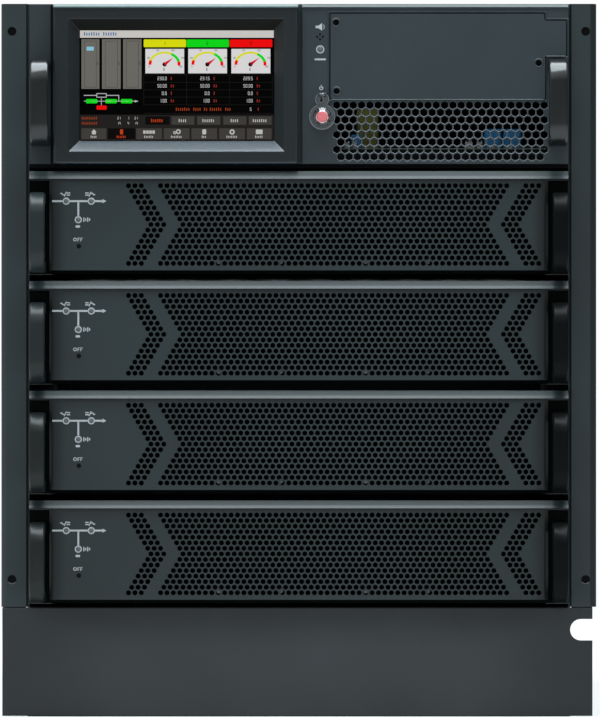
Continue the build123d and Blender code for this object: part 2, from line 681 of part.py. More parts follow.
def epo_base():
    """Keyhole plate with two lugs and the hinge pin of the flip cover."""
    front = BYPASS_Y - EPO_BASE_SHEET
    hole = epo_disc(EPO_BUTTON_RADIUS + EPO_BUTTON_GAP)
    outline = keyhole(EPO_FLANGE_RADIUS - EPO_BASE_INSET, EPO_LOBE_RADIUS - EPO_BASE_INSET)
    base = plate(outline - hole, BYPASS_Y, EPO_BASE_SHEET)
    inner, outer = EPO_LUG_INNER, EPO_LUG_INNER + EPO_LUG_WIDTH
    lug = span((EPO_PIN_Y, front), (EPO_PIN_Z - EPO_KNUCKLE_RADIUS, EPO_PIN_Z + EPO_KNUCKLE_RADIUS / 2))
    lug += pin_disc(EPO_KNUCKLE_RADIUS)
    for near, far in ((inner, outer), (-outer, -inner)):
        base += run_x(lug, (EPO_CENTRE + near, EPO_CENTRE + far))
    return base + run_x(pin_disc(EPO_PIN_RADIUS), (EPO_CENTRE - outer, EPO_CENTRE + outer))


def epo_cover():
    """Clear keyhole flange with a raised cap over the button and a knuckle on the hinge pin."""
    back = BYPASS_Y - EPO_BASE_SHEET - EPO_COVER_GAP
    front = back - EPO_CAP_DEPTH
    flange_top = EPO_PIN_Z - EPO_KNUCKLE_RADIUS - EPO_COVER_GAP
    lug_room = EPO_LUG_INNER + EPO_LUG_WIDTH + EPO_SIDE_GAP
    flange = keyhole(EPO_FLANGE_RADIUS, EPO_LOBE_RADIUS)
    for half, low in ((EPO_FLANGE_RADIUS, EPO_PIN_Z), (lug_room, flange_top)):
        flange -= span((EPO_CENTRE - half, EPO_CENTRE + half), (low, EPO_LOBE_Z + EPO_FLANGE_RADIUS))
    cap = run_y(epo_disc(EPO_CAP_RADIUS), (front, back))
    cap = chamfer(cap.faces().sort_by(Axis.Y)[0].edges(), EPO_CAP_BEVEL)
    room = run_y(epo_disc(EPO_CAP_RADIUS - EPO_CAP_WALL), (front + EPO_CAP_WALL, back))
    room = chamfer(room.faces().sort_by(Axis.Y)[0].edges(), EPO_CAP_BEVEL - EPO_CAP_WALL / 2)
    xs = (EPO_CENTRE - EPO_KNUCKLE_WIDTH / 2, EPO_CENTRE + EPO_KNUCKLE_WIDTH / 2)
    arm = slab(xs, (back - EPO_FLANGE_SHEET, back), (flange_top - EPO_FLANGE_SHEET, EPO_PIN_Z))
    knuckle = run_x(pin_disc(EPO_KNUCKLE_RADIUS), xs)
    bore = run_x(pin_disc(EPO_PIN_RADIUS + EPO_PIN_GAP), xs)
    cover = plate(flange, back, EPO_FLANGE_SHEET) + cap + arm + knuckle
    return cover - [bore, room]


def epo_button():
    """Round push button with a bevelled end, running through the base and the panel."""
    front = BYPASS_Y - EPO_BUTTON_FRONT
    button = run_y(epo_disc(EPO_BUTTON_RADIUS), (front, front + EPO_BUTTON_BACK))
    return chamfer(button.faces().sort_by(Axis.Y)[0].edges(), EPO_BUTTON_BEVEL)


# Parts behind the honeycomb

def circuit_board():
    """Board on four hexagonal standoffs over the upper shelf."""
    low = BAYS_TOP + BOARD_HEIGHT
    xs = (BOARD_LEFT, BOARD_RIGHT)
    ys = (FRAME_Y + BOARD_SETBACK, FRAME_Y + BOARD_SETBACK + BOARD_DEPTH)
    board = slab(xs, ys, (low, low + BOARD_SHEET))
    for x in (xs[0] + STANDOFF_INSET, xs[1] - STANDOFF_INSET):
        for y in (ys[0] + STANDOFF_INSET, ys[1] - STANDOFF_INSET):
            board += run_z(Pos(x, y) * RegularPolygon(STANDOFF_RADIUS, 6), (SHELF_TOP, low))
    return board


def capacitor(end, inset, width, depth, height, setback):
    """A block on the board with its upright edges bevelled, its centre inset from one end."""
    centre = BOARD_LEFT + inset if end < 0 else BOARD_RIGHT - inset
    front = FRAME_Y + BOARD_SETBACK + setback
    low = BAYS_TOP + BOARD_HEIGHT + BOARD_SHEET
    outline = Pos(centre, front + depth / 2) * Rectangle(width, depth)
    outline = chamfer(outline.vertices(), CAPACITOR_BEVEL)
    return run_z(outline, (low, low + height))


def blue_capacitors():
    return [
        capacitor(end, inset, width, BLUE_CAPACITOR_DEPTH, height, BLUE_CAPACITOR_SETBACK)
        for end, inset, width, height in BLUE_CAPACITORS
    ]


def yellow_capacitor():
    end, inset = YELLOW_CAPACITOR_PLACE
    width, depth, height = YELLOW_CAPACITOR_SIZE
    return capacitor(end, inset, width, depth, height, YELLOW_CAPACITOR_SETBACK)


def cabinet_nodes():
    rails = guide_rails()
    ear = rack_ear()
    wall = side_panel()
    return {
        "base_tray": base_tray(),
        "top_cover": top_cover(),
        "left_side_panel": mirrored(wall),
        "right_side_panel": wall,
        "lower_shelf": shelf(LOWER_TOP, LOWER_TOP - HEM),
        "upper_shelf": shelf(SHELF_TOP, SHELF_TOP + HEM),
        "rear_panel": rear_panel(),
        "terminal_cover": terminal_cover(),
        "left_rack_ear": mirrored(ear),
        "right_rack_ear": ear,
        "lower_front_panel": lower_front_panel(),
        "left_guide_rails": [mirrored(rail) for rail in rails],
        "right_guide_rails": rails,
    }


def unit_nodes():
    return {
        "unit_front_plate": unit_front_plate(),
        "display_bezel": display_bezel(),
        "display_screen": display_screen(),
        "bypass_front_panel": bypass_front_panel(),
        "bypass_cover_plate": bypass_cover_plate(),
        "unit_handles": unit_handles(),
        "epo_base": epo_base(),
        "epo_cover": epo_cover(),
        "epo_button": epo_button(),
        "circuit_board": circuit_board(),
        "blue_capacitors": blue_capacitors(),
        "yellow_capacitor": yellow_capacitor(),
    }


def module_nodes():
    nodes = {}
    one_fan = fan()
    for index, floor in enumerate(BAY_FLOORS):
        name = f"module_{index + 1}"
        nodes[f"{name}_housing"] = module_housing(floor)
        nodes[f"{name}_front_panel"] = module_front_panel(floor)
        nodes[f"{name}_grille"] = module_grille(floor)
        nodes[f"{name}_handles"] = module_handles(floor)
        nodes[f"{name}_fans"] = module_fans(floor, one_fan)
    return nodes


def write(nodes):
    os.makedirs("parts", exist_ok=True)
    for name, shape in nodes.items():
        pieces = shape if isinstance(shape, list) else [shape]
        solids = [solid for piece in pieces for solid in piece.solids()]
        export_step(Compound(children=solids), f"parts/{name}.step")


write({**cabinet_nodes(), **unit_nodes(), **module_nodes()})
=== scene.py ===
import math
from types import SimpleNamespace

import bpy
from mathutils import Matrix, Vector
from mathutils.geometry import delaunay_2d_cdt


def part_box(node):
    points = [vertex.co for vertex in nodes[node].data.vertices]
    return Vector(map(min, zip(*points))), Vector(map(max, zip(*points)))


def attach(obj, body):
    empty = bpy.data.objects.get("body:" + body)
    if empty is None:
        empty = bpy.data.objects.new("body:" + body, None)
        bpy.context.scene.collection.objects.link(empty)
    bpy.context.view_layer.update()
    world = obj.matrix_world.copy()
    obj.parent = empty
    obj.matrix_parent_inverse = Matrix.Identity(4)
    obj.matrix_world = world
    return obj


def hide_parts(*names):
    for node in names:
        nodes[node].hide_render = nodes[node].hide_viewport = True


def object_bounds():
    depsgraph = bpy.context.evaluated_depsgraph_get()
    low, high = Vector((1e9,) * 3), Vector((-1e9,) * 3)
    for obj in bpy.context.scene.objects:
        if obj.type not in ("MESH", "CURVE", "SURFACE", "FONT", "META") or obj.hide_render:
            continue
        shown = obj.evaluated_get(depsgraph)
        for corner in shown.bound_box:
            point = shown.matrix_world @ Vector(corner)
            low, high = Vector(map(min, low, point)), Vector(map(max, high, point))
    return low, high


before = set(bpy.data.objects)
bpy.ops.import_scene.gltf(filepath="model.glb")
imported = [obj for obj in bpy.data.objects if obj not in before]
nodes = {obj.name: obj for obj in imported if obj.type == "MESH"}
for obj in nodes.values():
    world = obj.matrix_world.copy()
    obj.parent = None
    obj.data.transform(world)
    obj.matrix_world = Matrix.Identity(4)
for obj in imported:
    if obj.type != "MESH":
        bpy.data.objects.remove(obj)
cad_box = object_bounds()

# The part's sizes and places are in millimetres in its own frame. The studio's are in metres.
# The front faces -Y.
MM = 0.001
MODULES = ("module_1", "module_2", "module_3", "module_4")


def front_of(node):
    """Y of the front of a node's box."""
    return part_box(node)[0][1] / MM


RACK_Y = front_of("unit_front_plate")
BYPASS_Y = front_of("bypass_front_panel")
COVER_Y = front_of("bypass_cover_plate")
BEZEL_Y = front_of("display_bezel")
SCREEN_Y = front_of("display_screen")
FACE_Y = -344.0
BAY_HEIGHT = 88.9
BAY_FLOORS = {name: (len(MODULES) - index) * BAY_HEIGHT for index, name in enumerate(MODULES)}
FACE_BOTTOM, FACE_TOP = 6.1, 80.2


# Mesh helpers

SHARP_ANGLE = math.radians(35)


def add_to_scene(name, data):
    item = bpy.data.objects.new(name, data)
    bpy.context.scene.collection.objects.link(item)
    return item


class Shape:
    """Vertices in millimetres and faces, gathered for one object."""

    def __init__(self):
        self.verts = []
        self.faces = []

    def add(self, verts, faces):
        start = len(self.verts)
        self.verts += verts
        self.faces += [tuple(start + i for i in face) for face in faces]

    def loft(self, rings, wrap=False):
        """A skin over loops of points, with flat ends unless the last loop joins the first."""
        count, last = len(rings[0]), len(rings) - 1
        faces = [] if wrap else [range(count), reversed(range(last * count, (last + 1) * count))]
        for k in range(last + wrap):
            a, b = k * count, (k + 1) % len(rings) * count
            for i in range(count):
                j = (i + 1) % count
                faces.append((a + i, b + i, b + j, a + j))
        self.add([point for ring in rings for point in ring], faces)

    def prism(self, outline, y_front, y_back):
        """A closed plate from an anticlockwise X-Z outline, between two Y planes."""
        self.loft([[(x, y, z) for x, z in outline] for y in (y_front, y_back)])

    def bar(self, x0, x1, z0, z1, y_front, y_back):
        self.prism([(x0, z0), (x1, z0), (x1, z1), (x0, z1)], y_front, y_back)

    def stroke(self, start, end, width, y_front, y_back):
        """A straight bar between two X-Z points."""
        (ax, az), (bx, bz) = start, end
        half = width / 2 / math.hypot(bx - ax, bz - az)
        nx, nz = (az - bz) * half, (bx - ax) * half
        outline = [(ax - nx, az - nz), (bx - nx, bz - nz), (bx + nx, bz + nz), (ax + nx, az + nz)]
        self.prism(outline, y_front, y_back)

    def disc(self, x, z, radius, y_front, y_back, sides=24):
        self.prism(circle(x, z, radius, sides), y_front, y_back)

    def arc(self, x, z, inner, outer, start, end, y_front, y_back, steps=16):
        """A flat band round a centre, from one angle to another in degrees."""
        closed = abs(end - start) >= 360
        turns = [math.radians(start + (end - start) * i / steps) for i in range(steps + 1 - closed)]
        section = ((outer, y_front), (inner, y_front), (inner, y_back), (outer, y_back))
        rings = [[(x + r * math.cos(t), y, z + r * math.sin(t)) for r, y in section] for t in turns]
        self.loft(rings, closed)

    def turned(self, x, z, profile, y, sides, wrap=False):
        """A form turned about a Y axis through (x, z): profile is (radius, distance behind y)."""
        self.loft([[(px, y + depth, pz) for px, pz in circle(x, z, radius, sides)]
                   for radius, depth in profile], wrap)

    def mesh(self, name, coat):
        mesh = bpy.data.meshes.new(name)
        mesh.from_pydata([(x * MM, y * MM, z * MM) for x, y, z in self.verts], [], self.faces)
        mesh.validate()
        mesh.update()
        mesh.materials.append(coat.material)
        return mesh

    def make(self, name, coat, body, slot=None, smooth=False):
        mesh = self.mesh(name, coat)
        if smooth:
            mesh.shade_smooth()
            mesh.set_sharp_from_angle(angle=SHARP_ANGLE)
        piece = add_to_scene(name, mesh)
        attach(piece, body)
        return piece


def circle(x, z, radius, sides):
    turns = [2 * math.pi * i / sides for i in range(sides)]
    return [(x + radius * math.cos(t), z + radius * math.sin(t)) for t in turns]


def rounded(x0, x1, z0, z1, radius, steps=4):
    """An anticlockwise rectangle with round corners."""
    points = []
    corners = ((x1 - radius, z1 - radius, 0), (x0 + radius, z1 - radius, 90),
               (x0 + radius, z0 + radius, 180), (x1 - radius, z0 + radius, 270))
    for x, z, start in corners:
        turns = [math.radians(start + 90 * i / steps) for i in range(steps + 1)]
        points += [(x + radius * math.cos(t), z + radius * math.sin(t)) for t in turns]
    return points


def skin(y, proud, sink=0.02):
    """Front and back planes of a thin layer that lies on a face and sinks into it a little."""
    return y - proud, y + sink


# Node trees and materials

class Nodes:
    """The node tree of a material or a world. A value is a number, a colour or the outlet of a node."""

    def __init__(self, owner):
        owner.use_nodes = True
        self.tree = owner.node_tree

    def feed(self, socket, value):
        if isinstance(value, bpy.types.NodeSocket):
            self.tree.links.new(value, socket)
        else:
            socket.default_value = value

    def node(self, kind, inputs=None, **settings):
        """A new node with its settings made and its inputs fed."""
        node = self.tree.nodes.new("ShaderNode" + kind)
        for key, value in settings.items():
            setattr(node, key, value)
        for key, value in (inputs or {}).items():
            self.feed(node.inputs[key], value)
        return node

    def noise(self, scale, detail=2.0, stretch=(1, 1, 1)):
        """Noise over the part's frame, in metres, with its axes scaled by three factors."""
        vector = self.node("Mapping", {"Vector": self.node("TexCoord").outputs["Object"], "Scale": stretch})
        inputs = {"Vector": vector.outputs["Vector"], "Scale": scale, "Detail": detail}
        return self.node("TexNoise", inputs).outputs["Fac"]

    def ramp(self, value, low, high, first, second):
        """Two colours blended over a range of a value."""
        node = self.node("ValToRGB", {"Fac": value})
        for element, position, colour in zip(node.color_ramp.elements, (low, high), (first, second)):
            element.position = position
            element.color = (*colour, 1)
        return node.outputs["Color"]

    def spread(self, value, low, high):
        """A value between 0 and 1 mapped to a range."""
        return self.node("MapRange", {"Value": value, "To Min": low, "To Max": high}).outputs["Result"]

    def growing(self, value, limits, results):
        """Changes smoothly from one result to another between two limits of a value."""
        inputs = {"Value": value, "From Min": limits[0], "From Max": limits[1],
                  "To Min": results[0], "To Max": results[1]}
        return self.node("MapRange", inputs, interpolation_type="SMOOTHSTEP").outputs["Result"]

    def bump(self, height, distance):
        inputs = {"Height": height, "Distance": distance, "Strength": 1.0}
        return self.node("Bump", inputs).outputs["Normal"]

    def reckon(self, operation, first, second=0.0):
        return self.node("Math", {0: first, 1: second}, operation=operation).outputs["Value"]

    def both(self, first, second):
        return self.reckon("MULTIPLY", first, second)

    def largest(self, first, *others):
        for value in others:
            first = self.reckon("MAXIMUM", first, value)
        return first

    def over(self, value, limit):
        """1 where a value is over a limit, else 0."""
        return self.reckon("GREATER_THAN", value, limit)

    def under(self, value, limit):
        return self.reckon("LESS_THAN", value, limit)

    def within(self, value, low, high):
        return self.both(self.over(value, low), self.under(value, high))

    def coordinate(self, outlet, axis):
        """One axis of the texture coordinates of an outlet."""
        return self.node("SeparateXYZ", {"Vector": self.node("TexCoord").outputs[outlet]}).outputs[axis]

    def place(self, axis):
        """One coordinate in the part's frame, in millimetres."""
        return self.both(self.coordinate("Object", axis), 1 / MM)

    def outward(self):
        """Distance from the middle plane of the part, whichever the side."""
        return self.reckon("ABSOLUTE", self.place("X"))


class Coat(Nodes):
    """A material with one main shader."""

    def __init__(self, name):
        self.material = bpy.data.materials.new(name)
        super().__init__(self.material)
        self.shader = self.tree.nodes["Principled BSDF"]

    def set(self, values):
        for key, value in values.items():
            self.feed(self.shader.inputs[key], value)

    def shine(self, value):
        self.set({"Specular IOR Level": value})

    def paint_over(self, mask, colour):
        """A second colour over the first, where a mask is 1."""
        first = self.shader.inputs["Base Color"].links[0].from_socket
        mix = self.node("Mix", {"Factor": mask, "A": first, "B": (*colour, 1)}, data_type="RGBA")
        self.set({"Base Color": mix.outputs["Result"]})


def shade(colour, factor):
    return tuple(channel * factor for channel in colour)


def linear(red, green, blue):
    """An sRGB colour, 0 to 255, as scene-linear values."""
    def one(value):
        value /= 255
        return value / 12.92 if value <= 0.04045 else ((value + 0.055) / 1.055) ** 2.4
    return one(red), one(green), one(blue)


def textured_paint(name, colour, rough, specular, grain=900.0, depth=0.00004, patch=0.12):
    """Powder coat: a fine orange-peel grain over a colour that drifts a little."""
    coat = Coat(name)
    drift = coat.noise(9.0, 3.0)
    grit = coat.noise(grain)
    coat.set({
        "Base Color": coat.ramp(drift, 0.3, 0.7, shade(colour, 1 - patch), shade(colour, 1 + patch)),
        "Roughness": coat.spread(grit, rough - 0.07, rough + 0.07),
        "Normal": coat.bump(grit, depth),
    })
    coat.shine(specular)
    return coat


def moulded(name, colour, rough, specular=0.3, grain=1500.0, depth=0.00002):
    """Moulded plastic with a spark-eroded grain."""
    return textured_paint(name, colour, rough, specular, grain, depth, 0.06)


def plated(name, colour, rough):
    """Zinc-plated sheet with rolling streaks along Y and faint spangle."""
    coat = Coat(name)
    streaks = coat.noise(6.0, 3.0, (160, 4, 160))
    position = coat.node("TexCoord").outputs["Object"]
    spangle = coat.node("TexVoronoi", {"Vector": position, "Scale": 70.0}).outputs["Distance"]
    coat.set({
        "Base Color": coat.ramp(spangle, 0.0, 1.0, shade(colour, 0.86), shade(colour, 1.1)),
        "Roughness": coat.spread(streaks, rough - 0.1, rough + 0.1),
        "Normal": coat.bump(streaks, 0.00001),
        "Metallic": 1.0,
    })
    return coat


def printed(name, colour):
    """Screen-printed ink with a slightly uneven cover."""
    coat = Coat(name)
    cover = coat.noise(1800.0)
    coat.set({"Base Color": coat.ramp(cover, 0.25, 0.6, shade(colour, 0.8), colour), "Roughness": 0.6})
    coat.shine(0.2)
    return coat


def lit(name, colour):
    """A lit area of the display: its light drifts slightly and fine scan lines show close up."""
    coat = Coat(name)
    lines = coat.noise(90.0, 1.0, (1, 1, 40))
    coat.set({
        "Emission Color": coat.ramp(lines, 0.2, 0.8, shade(colour, 0.94), colour),
        "Emission Strength": DISPLAY_LIGHT,
        "Base Color": (*shade(colour, 0.05), 1),
        "Roughness": 0.35,
    })
    coat.shine(0.1)
    return coat


def clear_plastic(name):
    """Clear plastic with a faint haze."""
    coat = Coat(name)
    coat.set({
        "Roughness": coat.spread(coat.noise(140.0), 0.03, 0.1),
        "Base Color": (0.93, 0.96, 0.97, 1),
        "Transmission Weight": 1.0,
        "IOR": 1.49,
    })
    return coat


# Finishes that change over a piece, most of them by painted shade or painted highlights, with the places
# where they do

# Colour and shine of painted shade, which the finishes below put where shade falls
PAINTED_SHADE_BLACK, PAINTED_SHADE_SHINE = (0.003, 0.004, 0.004), 0.03
# Painted shade: the module case is black in front of this, round the fan chamber
CHAMBER_BACK, ZINC_SHINE = -273.5, 0.5
FRONT_SHINE = 0.5
# Painted shade of the module fronts: toward the ends of the face, under the visor, lower down, in the
# pockets and under the face
END_START, END_SHADE = 187.0, 0.85
POCKET_SIDE, POCKET_FRONT = 201.9, -342.1
UNDER_VISOR, UNDER_SHADE = 76.0, 0.75
VISOR_FOLD, VISOR_SHINE = 82.6, 0.5
LOW_SHADE_SPAN, LOW_SHADE = (360.0, 90.0), 0.16
# Painted shade of the lower panel, toward its ends and toward its top under the modules
LOWER_ENDS, LOWER_SPAN, LOWER_SHADE = (130.0, 240.0), (50.0, BAY_HEIGHT), 0.37
# Painted shade of the module handles: darker and less shiny on the right-hand side, darker lower down
GRIP_SHINE, RIGHT_SHINE, RIGHT_SHADE = 0.4, 0.1, 0.95
LOW_GRIP_SPAN, LOW_GRIP_SHADE = (390.0, 210.0), 0.62
CASE_COLOUR, PANEL_COLOUR = linear(51, 61, 63), linear(56, 66, 70)
# Painted shade along the outer edge of the right-hand ear
EAR_EDGE, EAR_SHADE = 236.3, 0.4
# Painted highlight on the upward-facing bevelled rims of the honeycomb
RIM_SPAN, RIM_LEAN = (BYPASS_Y + 0.03, BYPASS_Y + 0.45), (-0.3, 0.5)
RIM_HIGHLIGHT = linear(146, 150, 156)
HONEYCOMB_X, HONEYCOMB_Z = (26.0, 204.0), (449.0, 499.0)
RECESS_FRONT = BEZEL_Y + 0.3
SCREEN_MIDDLE, SCREEN_HALF = (-98.8, 511.5), (78.5, 44.6)
UPPER_SLOPE, UPPER_SHINE = linear(19, 20, 18), 0.15
LOWER_SLOPE, LOWER_SHINE = linear(52, 66, 76), 0.22
BEZEL_SHINE = 0.5


def housing_sheet():
    """Zinc-plated module case, with painted shade: black round the fan chamber at its front, which lies in
    shade.
    """
    coat = plated("module_zinc_and_painted_shade", (0.40, 0.41, 0.42), 0.4)
    bare = coat.over(coat.place("Y"), CHAMBER_BACK)
    coat.paint_over(coat.reckon("SUBTRACT", 1.0, bare), PAINTED_SHADE_BLACK)
    coat.set({"Metallic": bare})
    coat.shine(coat.spread(bare, PAINTED_SHADE_SHINE, ZINC_SHINE))
    return coat


def front_paint():
    """The module's paint, with painted shade: darker to the ends of the face by the handles, under the visor
    and lower down, black in the pockets and under the face, and with less shine on the visor's upper facet.
    """
    coat = textured_paint("module_front_coat_and_painted_shade", linear(46, 57, 59), 0.36, FRONT_SHINE)
    height = coat.reckon("FLOORED_MODULO", coat.place("Z"), BAY_HEIGHT)
    ends = coat.growing(coat.outward(), (END_START, POCKET_SIDE), (0.0, END_SHADE))
    under_visor = coat.growing(height, (UNDER_VISOR, FACE_TOP), (0.0, UNDER_SHADE))
    coat.paint_over(coat.both(coat.largest(ends, under_visor), coat.under(height, FACE_TOP)), PAINTED_SHADE_BLACK)
    coat.paint_over(coat.growing(coat.place("Z"), LOW_SHADE_SPAN, (0.0, LOW_SHADE)), PAINTED_SHADE_BLACK)
    pocket = coat.both(coat.over(coat.outward(), POCKET_SIDE), coat.over(coat.place("Y"), POCKET_FRONT))
    dark = coat.largest(pocket, coat.under(height, FACE_BOTTOM))
    coat.paint_over(dark, PAINTED_SHADE_BLACK)
    # Painted shade by shine: halved above the visor fold, and low in the painted black
    visor = coat.spread(coat.over(height, VISOR_FOLD), 1.0, VISOR_SHINE)
    coat.shine(coat.both(coat.spread(dark, FRONT_SHINE, PAINTED_SHADE_SHINE), visor))
    return coat


def lower_paint():
    """Paint of the lower panel, with painted shade darker to its ends and toward its top under the modules.
    """
    coat = textured_paint("lower_panel_coat_and_painted_shade", linear(64, 68, 70), 0.45, 0.35)
    ends = coat.growing(coat.outward(), LOWER_ENDS, (0.0, LOWER_SHADE))
    above = coat.growing(coat.place("Z"), LOWER_SPAN, (0.0, LOWER_SHADE))
    coat.paint_over(coat.largest(ends, above), PAINTED_SHADE_BLACK)
    return coat


def grip_paint():
    """Satin paint of the module handles, with painted shade: darker and less shiny on the right-hand ones,
    and darker on the lower ones.
    """
    coat = moulded("grip_satin_paint_and_painted_shade", linear(38, 46, 47), 0.34, GRIP_SHINE)
    right = coat.over(coat.place("X"), 0.0)
    low = coat.growing(coat.place("Z"), LOW_GRIP_SPAN, (0.0, LOW_GRIP_SHADE))
    coat.paint_over(coat.largest(coat.spread(right, 0.0, RIGHT_SHADE), low), PAINTED_SHADE_BLACK)
    coat.shine(coat.spread(right, GRIP_SHINE, RIGHT_SHINE))
    return coat


def ear_paint():
    """The case's paint, with painted shade along the outer edge of the right-hand ear."""
    coat = textured_paint("ear_coat_and_painted_shade", CASE_COLOUR, 0.45, 0.35)
    coat.paint_over(coat.over(coat.place("X"), EAR_EDGE), shade(CASE_COLOUR, EAR_SHADE))
    return coat


def honeycomb_paint():
    """The bypass panel's paint, with a painted highlight where the bevelled rims of the honeycomb face up.
    """
    coat = textured_paint("honeycomb_coat_and_painted_highlight", PANEL_COLOUR, 0.42, 0.4)
    rim = coat.within(coat.place("Y"), *RIM_SPAN)
    across = coat.within(coat.place("X"), *HONEYCOMB_X)
    along = coat.within(coat.place("Z"), *HONEYCOMB_Z)
    upward = coat.growing(coat.coordinate("Normal", "Z"), RIM_LEAN, (0.0, 1.0))
    coat.paint_over(coat.both(coat.both(rim, upward), coat.both(across, along)), RIM_HIGHLIGHT)
    return coat


def bezel_moulding():
    """Satin moulding, in shade on the slope over the screen and lit on the slope under it."""
    coat = moulded("bezel_plastic", linear(34, 40, 42), 0.3, BEZEL_SHINE)
    recess = coat.over(coat.place("Y"), RECESS_FRONT)
    height = coat.reckon("SUBTRACT", coat.place("Z"), SCREEN_MIDDLE[1])
    side = coat.reckon("ABSOLUTE", coat.reckon("SUBTRACT", coat.place("X"), SCREEN_MIDDLE[0]))
    mitre = coat.largest(coat.reckon("ADD", side, SCREEN_HALF[1] - SCREEN_HALF[0]), SCREEN_HALF[1])
    upper = coat.both(recess, coat.over(height, mitre))
    lower = coat.both(recess, coat.over(coat.both(height, -1.0), mitre))
    coat.paint_over(upper, UPPER_SLOPE)
    coat.paint_over(lower, LOWER_SLOPE)
    upper_shine = coat.spread(upper, BEZEL_SHINE, UPPER_SHINE)
    coat.shine(coat.reckon("ADD", upper_shine, coat.spread(lower, 0.0, LOWER_SHINE)))
    return coat


module_front = front_paint()
# Black paint of the shelves, also used for painted shadow in the joints round the cover plate and beside the
# ears
black_paint_and_shadow = textured_paint("black_paint_and_painted_shadow", linear(13, 16, 18), 0.6, 0.1)
panel_paint = textured_paint("bypass_powder_coat", PANEL_COLOUR, 0.42, 0.4)
black_plastic = moulded("black_plastic", linear(12, 12, 13), 0.5, 0.12)
dark_screw = plated("blackened_screw", (0.10, 0.105, 0.11), 0.32)
case_screw = plated("plated_screw", (0.25, 0.26, 0.27), 0.35)
fan_zinc = plated("fan_screw_zinc", (0.16, 0.17, 0.18), 0.4)
white_ink = printed("white_ink", linear(205, 212, 214))
# A pale finish for painted highlights along the edges of the flip cover and of the holes in the ears
pale_highlight_finish = moulded("pale_painted_highlight", linear(128, 137, 141), 0.35, 0.5)
# Paler finishes of the top folds: a painted highlight along the top edges
bezel_fold = moulded("bezel_fold_painted_highlight", linear(104, 122, 122), 0.3, 0.6)
panel_fold = moulded("panel_fold_painted_highlight", linear(70, 82, 84), 0.3, 0.5)
grey_lens = moulded("grey_lens", linear(104, 110, 112), 0.3, 0.5, 600.0, 0.000005)
board_edge = moulded("board_cut_edge", (0.36, 0.44, 0.38), 0.5)
blue_case = moulded("blue_capacitor_case", (0.04, 0.28, 0.60), 0.4)
yellow_case = moulded("yellow_capacitor_case", (0.50, 0.52, 0.13), 0.5)
white_plastic = moulded("white_connector_plastic", (0.62, 0.62, 0.58), 0.45)

finishes = {
    textured_paint("charcoal_powder_coat", CASE_COLOUR, 0.45, 0.35): (
        "base_tray", "top_cover", "left_side_panel", "right_side_panel", "rear_panel", "terminal_cover",
        "unit_front_plate"),
    ear_paint(): ("left_rack_ear", "right_rack_ear"),
    black_paint_and_shadow: ("lower_shelf", "upper_shelf"),
    honeycomb_paint(): ("bypass_front_panel",),
    panel_paint: ("bypass_cover_plate", "epo_base"),
    lower_paint(): ("lower_front_panel",),
    plated("dull_zinc_sheet", (0.10, 0.10, 0.10), 0.5): ("left_guide_rails", "right_guide_rails"),
    bezel_moulding(): ("display_bezel",),
    moulded("display_glass", (0.0006, 0.0006, 0.0006), 0.3, 0.05, 300.0, 0.0): ("display_screen",),
    moulded("handle_satin_paint", linear(21, 26, 27), 0.22, 0.8): ("unit_handles",),
    grip_paint(): [f"{name}_handles" for name in MODULES],
    clear_plastic("clear_flip_cover"): ("epo_cover",),
    moulded("red_button_plastic", linear(255, 116, 124), 0.3, 0.5, 700.0, 0.000005): ("epo_button",),
    moulded("board_laminate", (0.05, 0.13, 0.09), 0.45): ("circuit_board",),
    blue_case: ("blue_capacitors",),
    yellow_case: ("yellow_capacitor",),
    module_front: [f"{name}_front_panel" for name in MODULES],
    housing_sheet(): [f"{name}_housing" for name in MODULES],
    moulded("fan_plastic", linear(6, 7, 7), 0.6, 0.05): [f"{name}_fans" for name in MODULES],
}
for coat, names in finishes.items():
    for name in names:
        mesh = nodes[name].data
        mesh.materials.clear()
        mesh.materials.append(coat.material)


# Perforated insert in the windows of each module front

FACE_HALF = 202.0
FACE_SHEET = 2.0
GRILLE_SHEET = 1.2
GRILLE_INSET = (2.5, 1.5)
MESH_SLANT = math.radians(60)
MESH_PITCH = 5.19
MESH_ROW = MESH_PITCH * math.sin(MESH_SLANT)
MESH_ROWS = 15
MESH_CENTRE = 28.2
MESH_MARGIN = 2.6
RIM_MARGIN = 2.5
FIELD_HOLES = 27
CHEVRONS = (30, 32)
HOLE_RADII = (2.14, 2.04)
HOLE_BEVEL = 0.12
HOLE_SIDES = 12
FACE_MIDDLE = (FACE_BOTTOM + FACE_TOP) / 2
MESH_HALF = (MESH_ROWS - 1) / 2 * MESH_ROW
SAME_POINT = 1e-6


def window_edge(holes, side, z):
    lean = (MESH_HALF - abs(z)) / math.tan(MESH_SLANT)
    return MESH_CENTRE + side * (holes * MESH_PITCH - lean)


def window(left, right, margin):
    """Anticlockwise outline of a window between two slanted edges, each (holes, side)."""
    half = MESH_HALF + margin
    heights = (half, 0, -half)
    left_edge = [(window_edge(*left, z) - margin, FACE_MIDDLE + z) for z in heights]
    right_edge = [(window_edge(*right, z) + margin, FACE_MIDDLE + z) for z in heights]
    return left_edge + right_edge[::-1]


def window_holes(left, right):
    """Centres of the staggered holes between two slanted edges."""
    centres = []
    for row in range(MESH_ROWS):
        z = MESH_HALF - row * MESH_ROW
        first, last = window_edge(*left, z), window_edge(*right, z)
        count = round((last - first) / MESH_PITCH) + 1
        centres += [(first + i * MESH_PITCH, FACE_MIDDLE + z) for i in range(count)]
    return centres


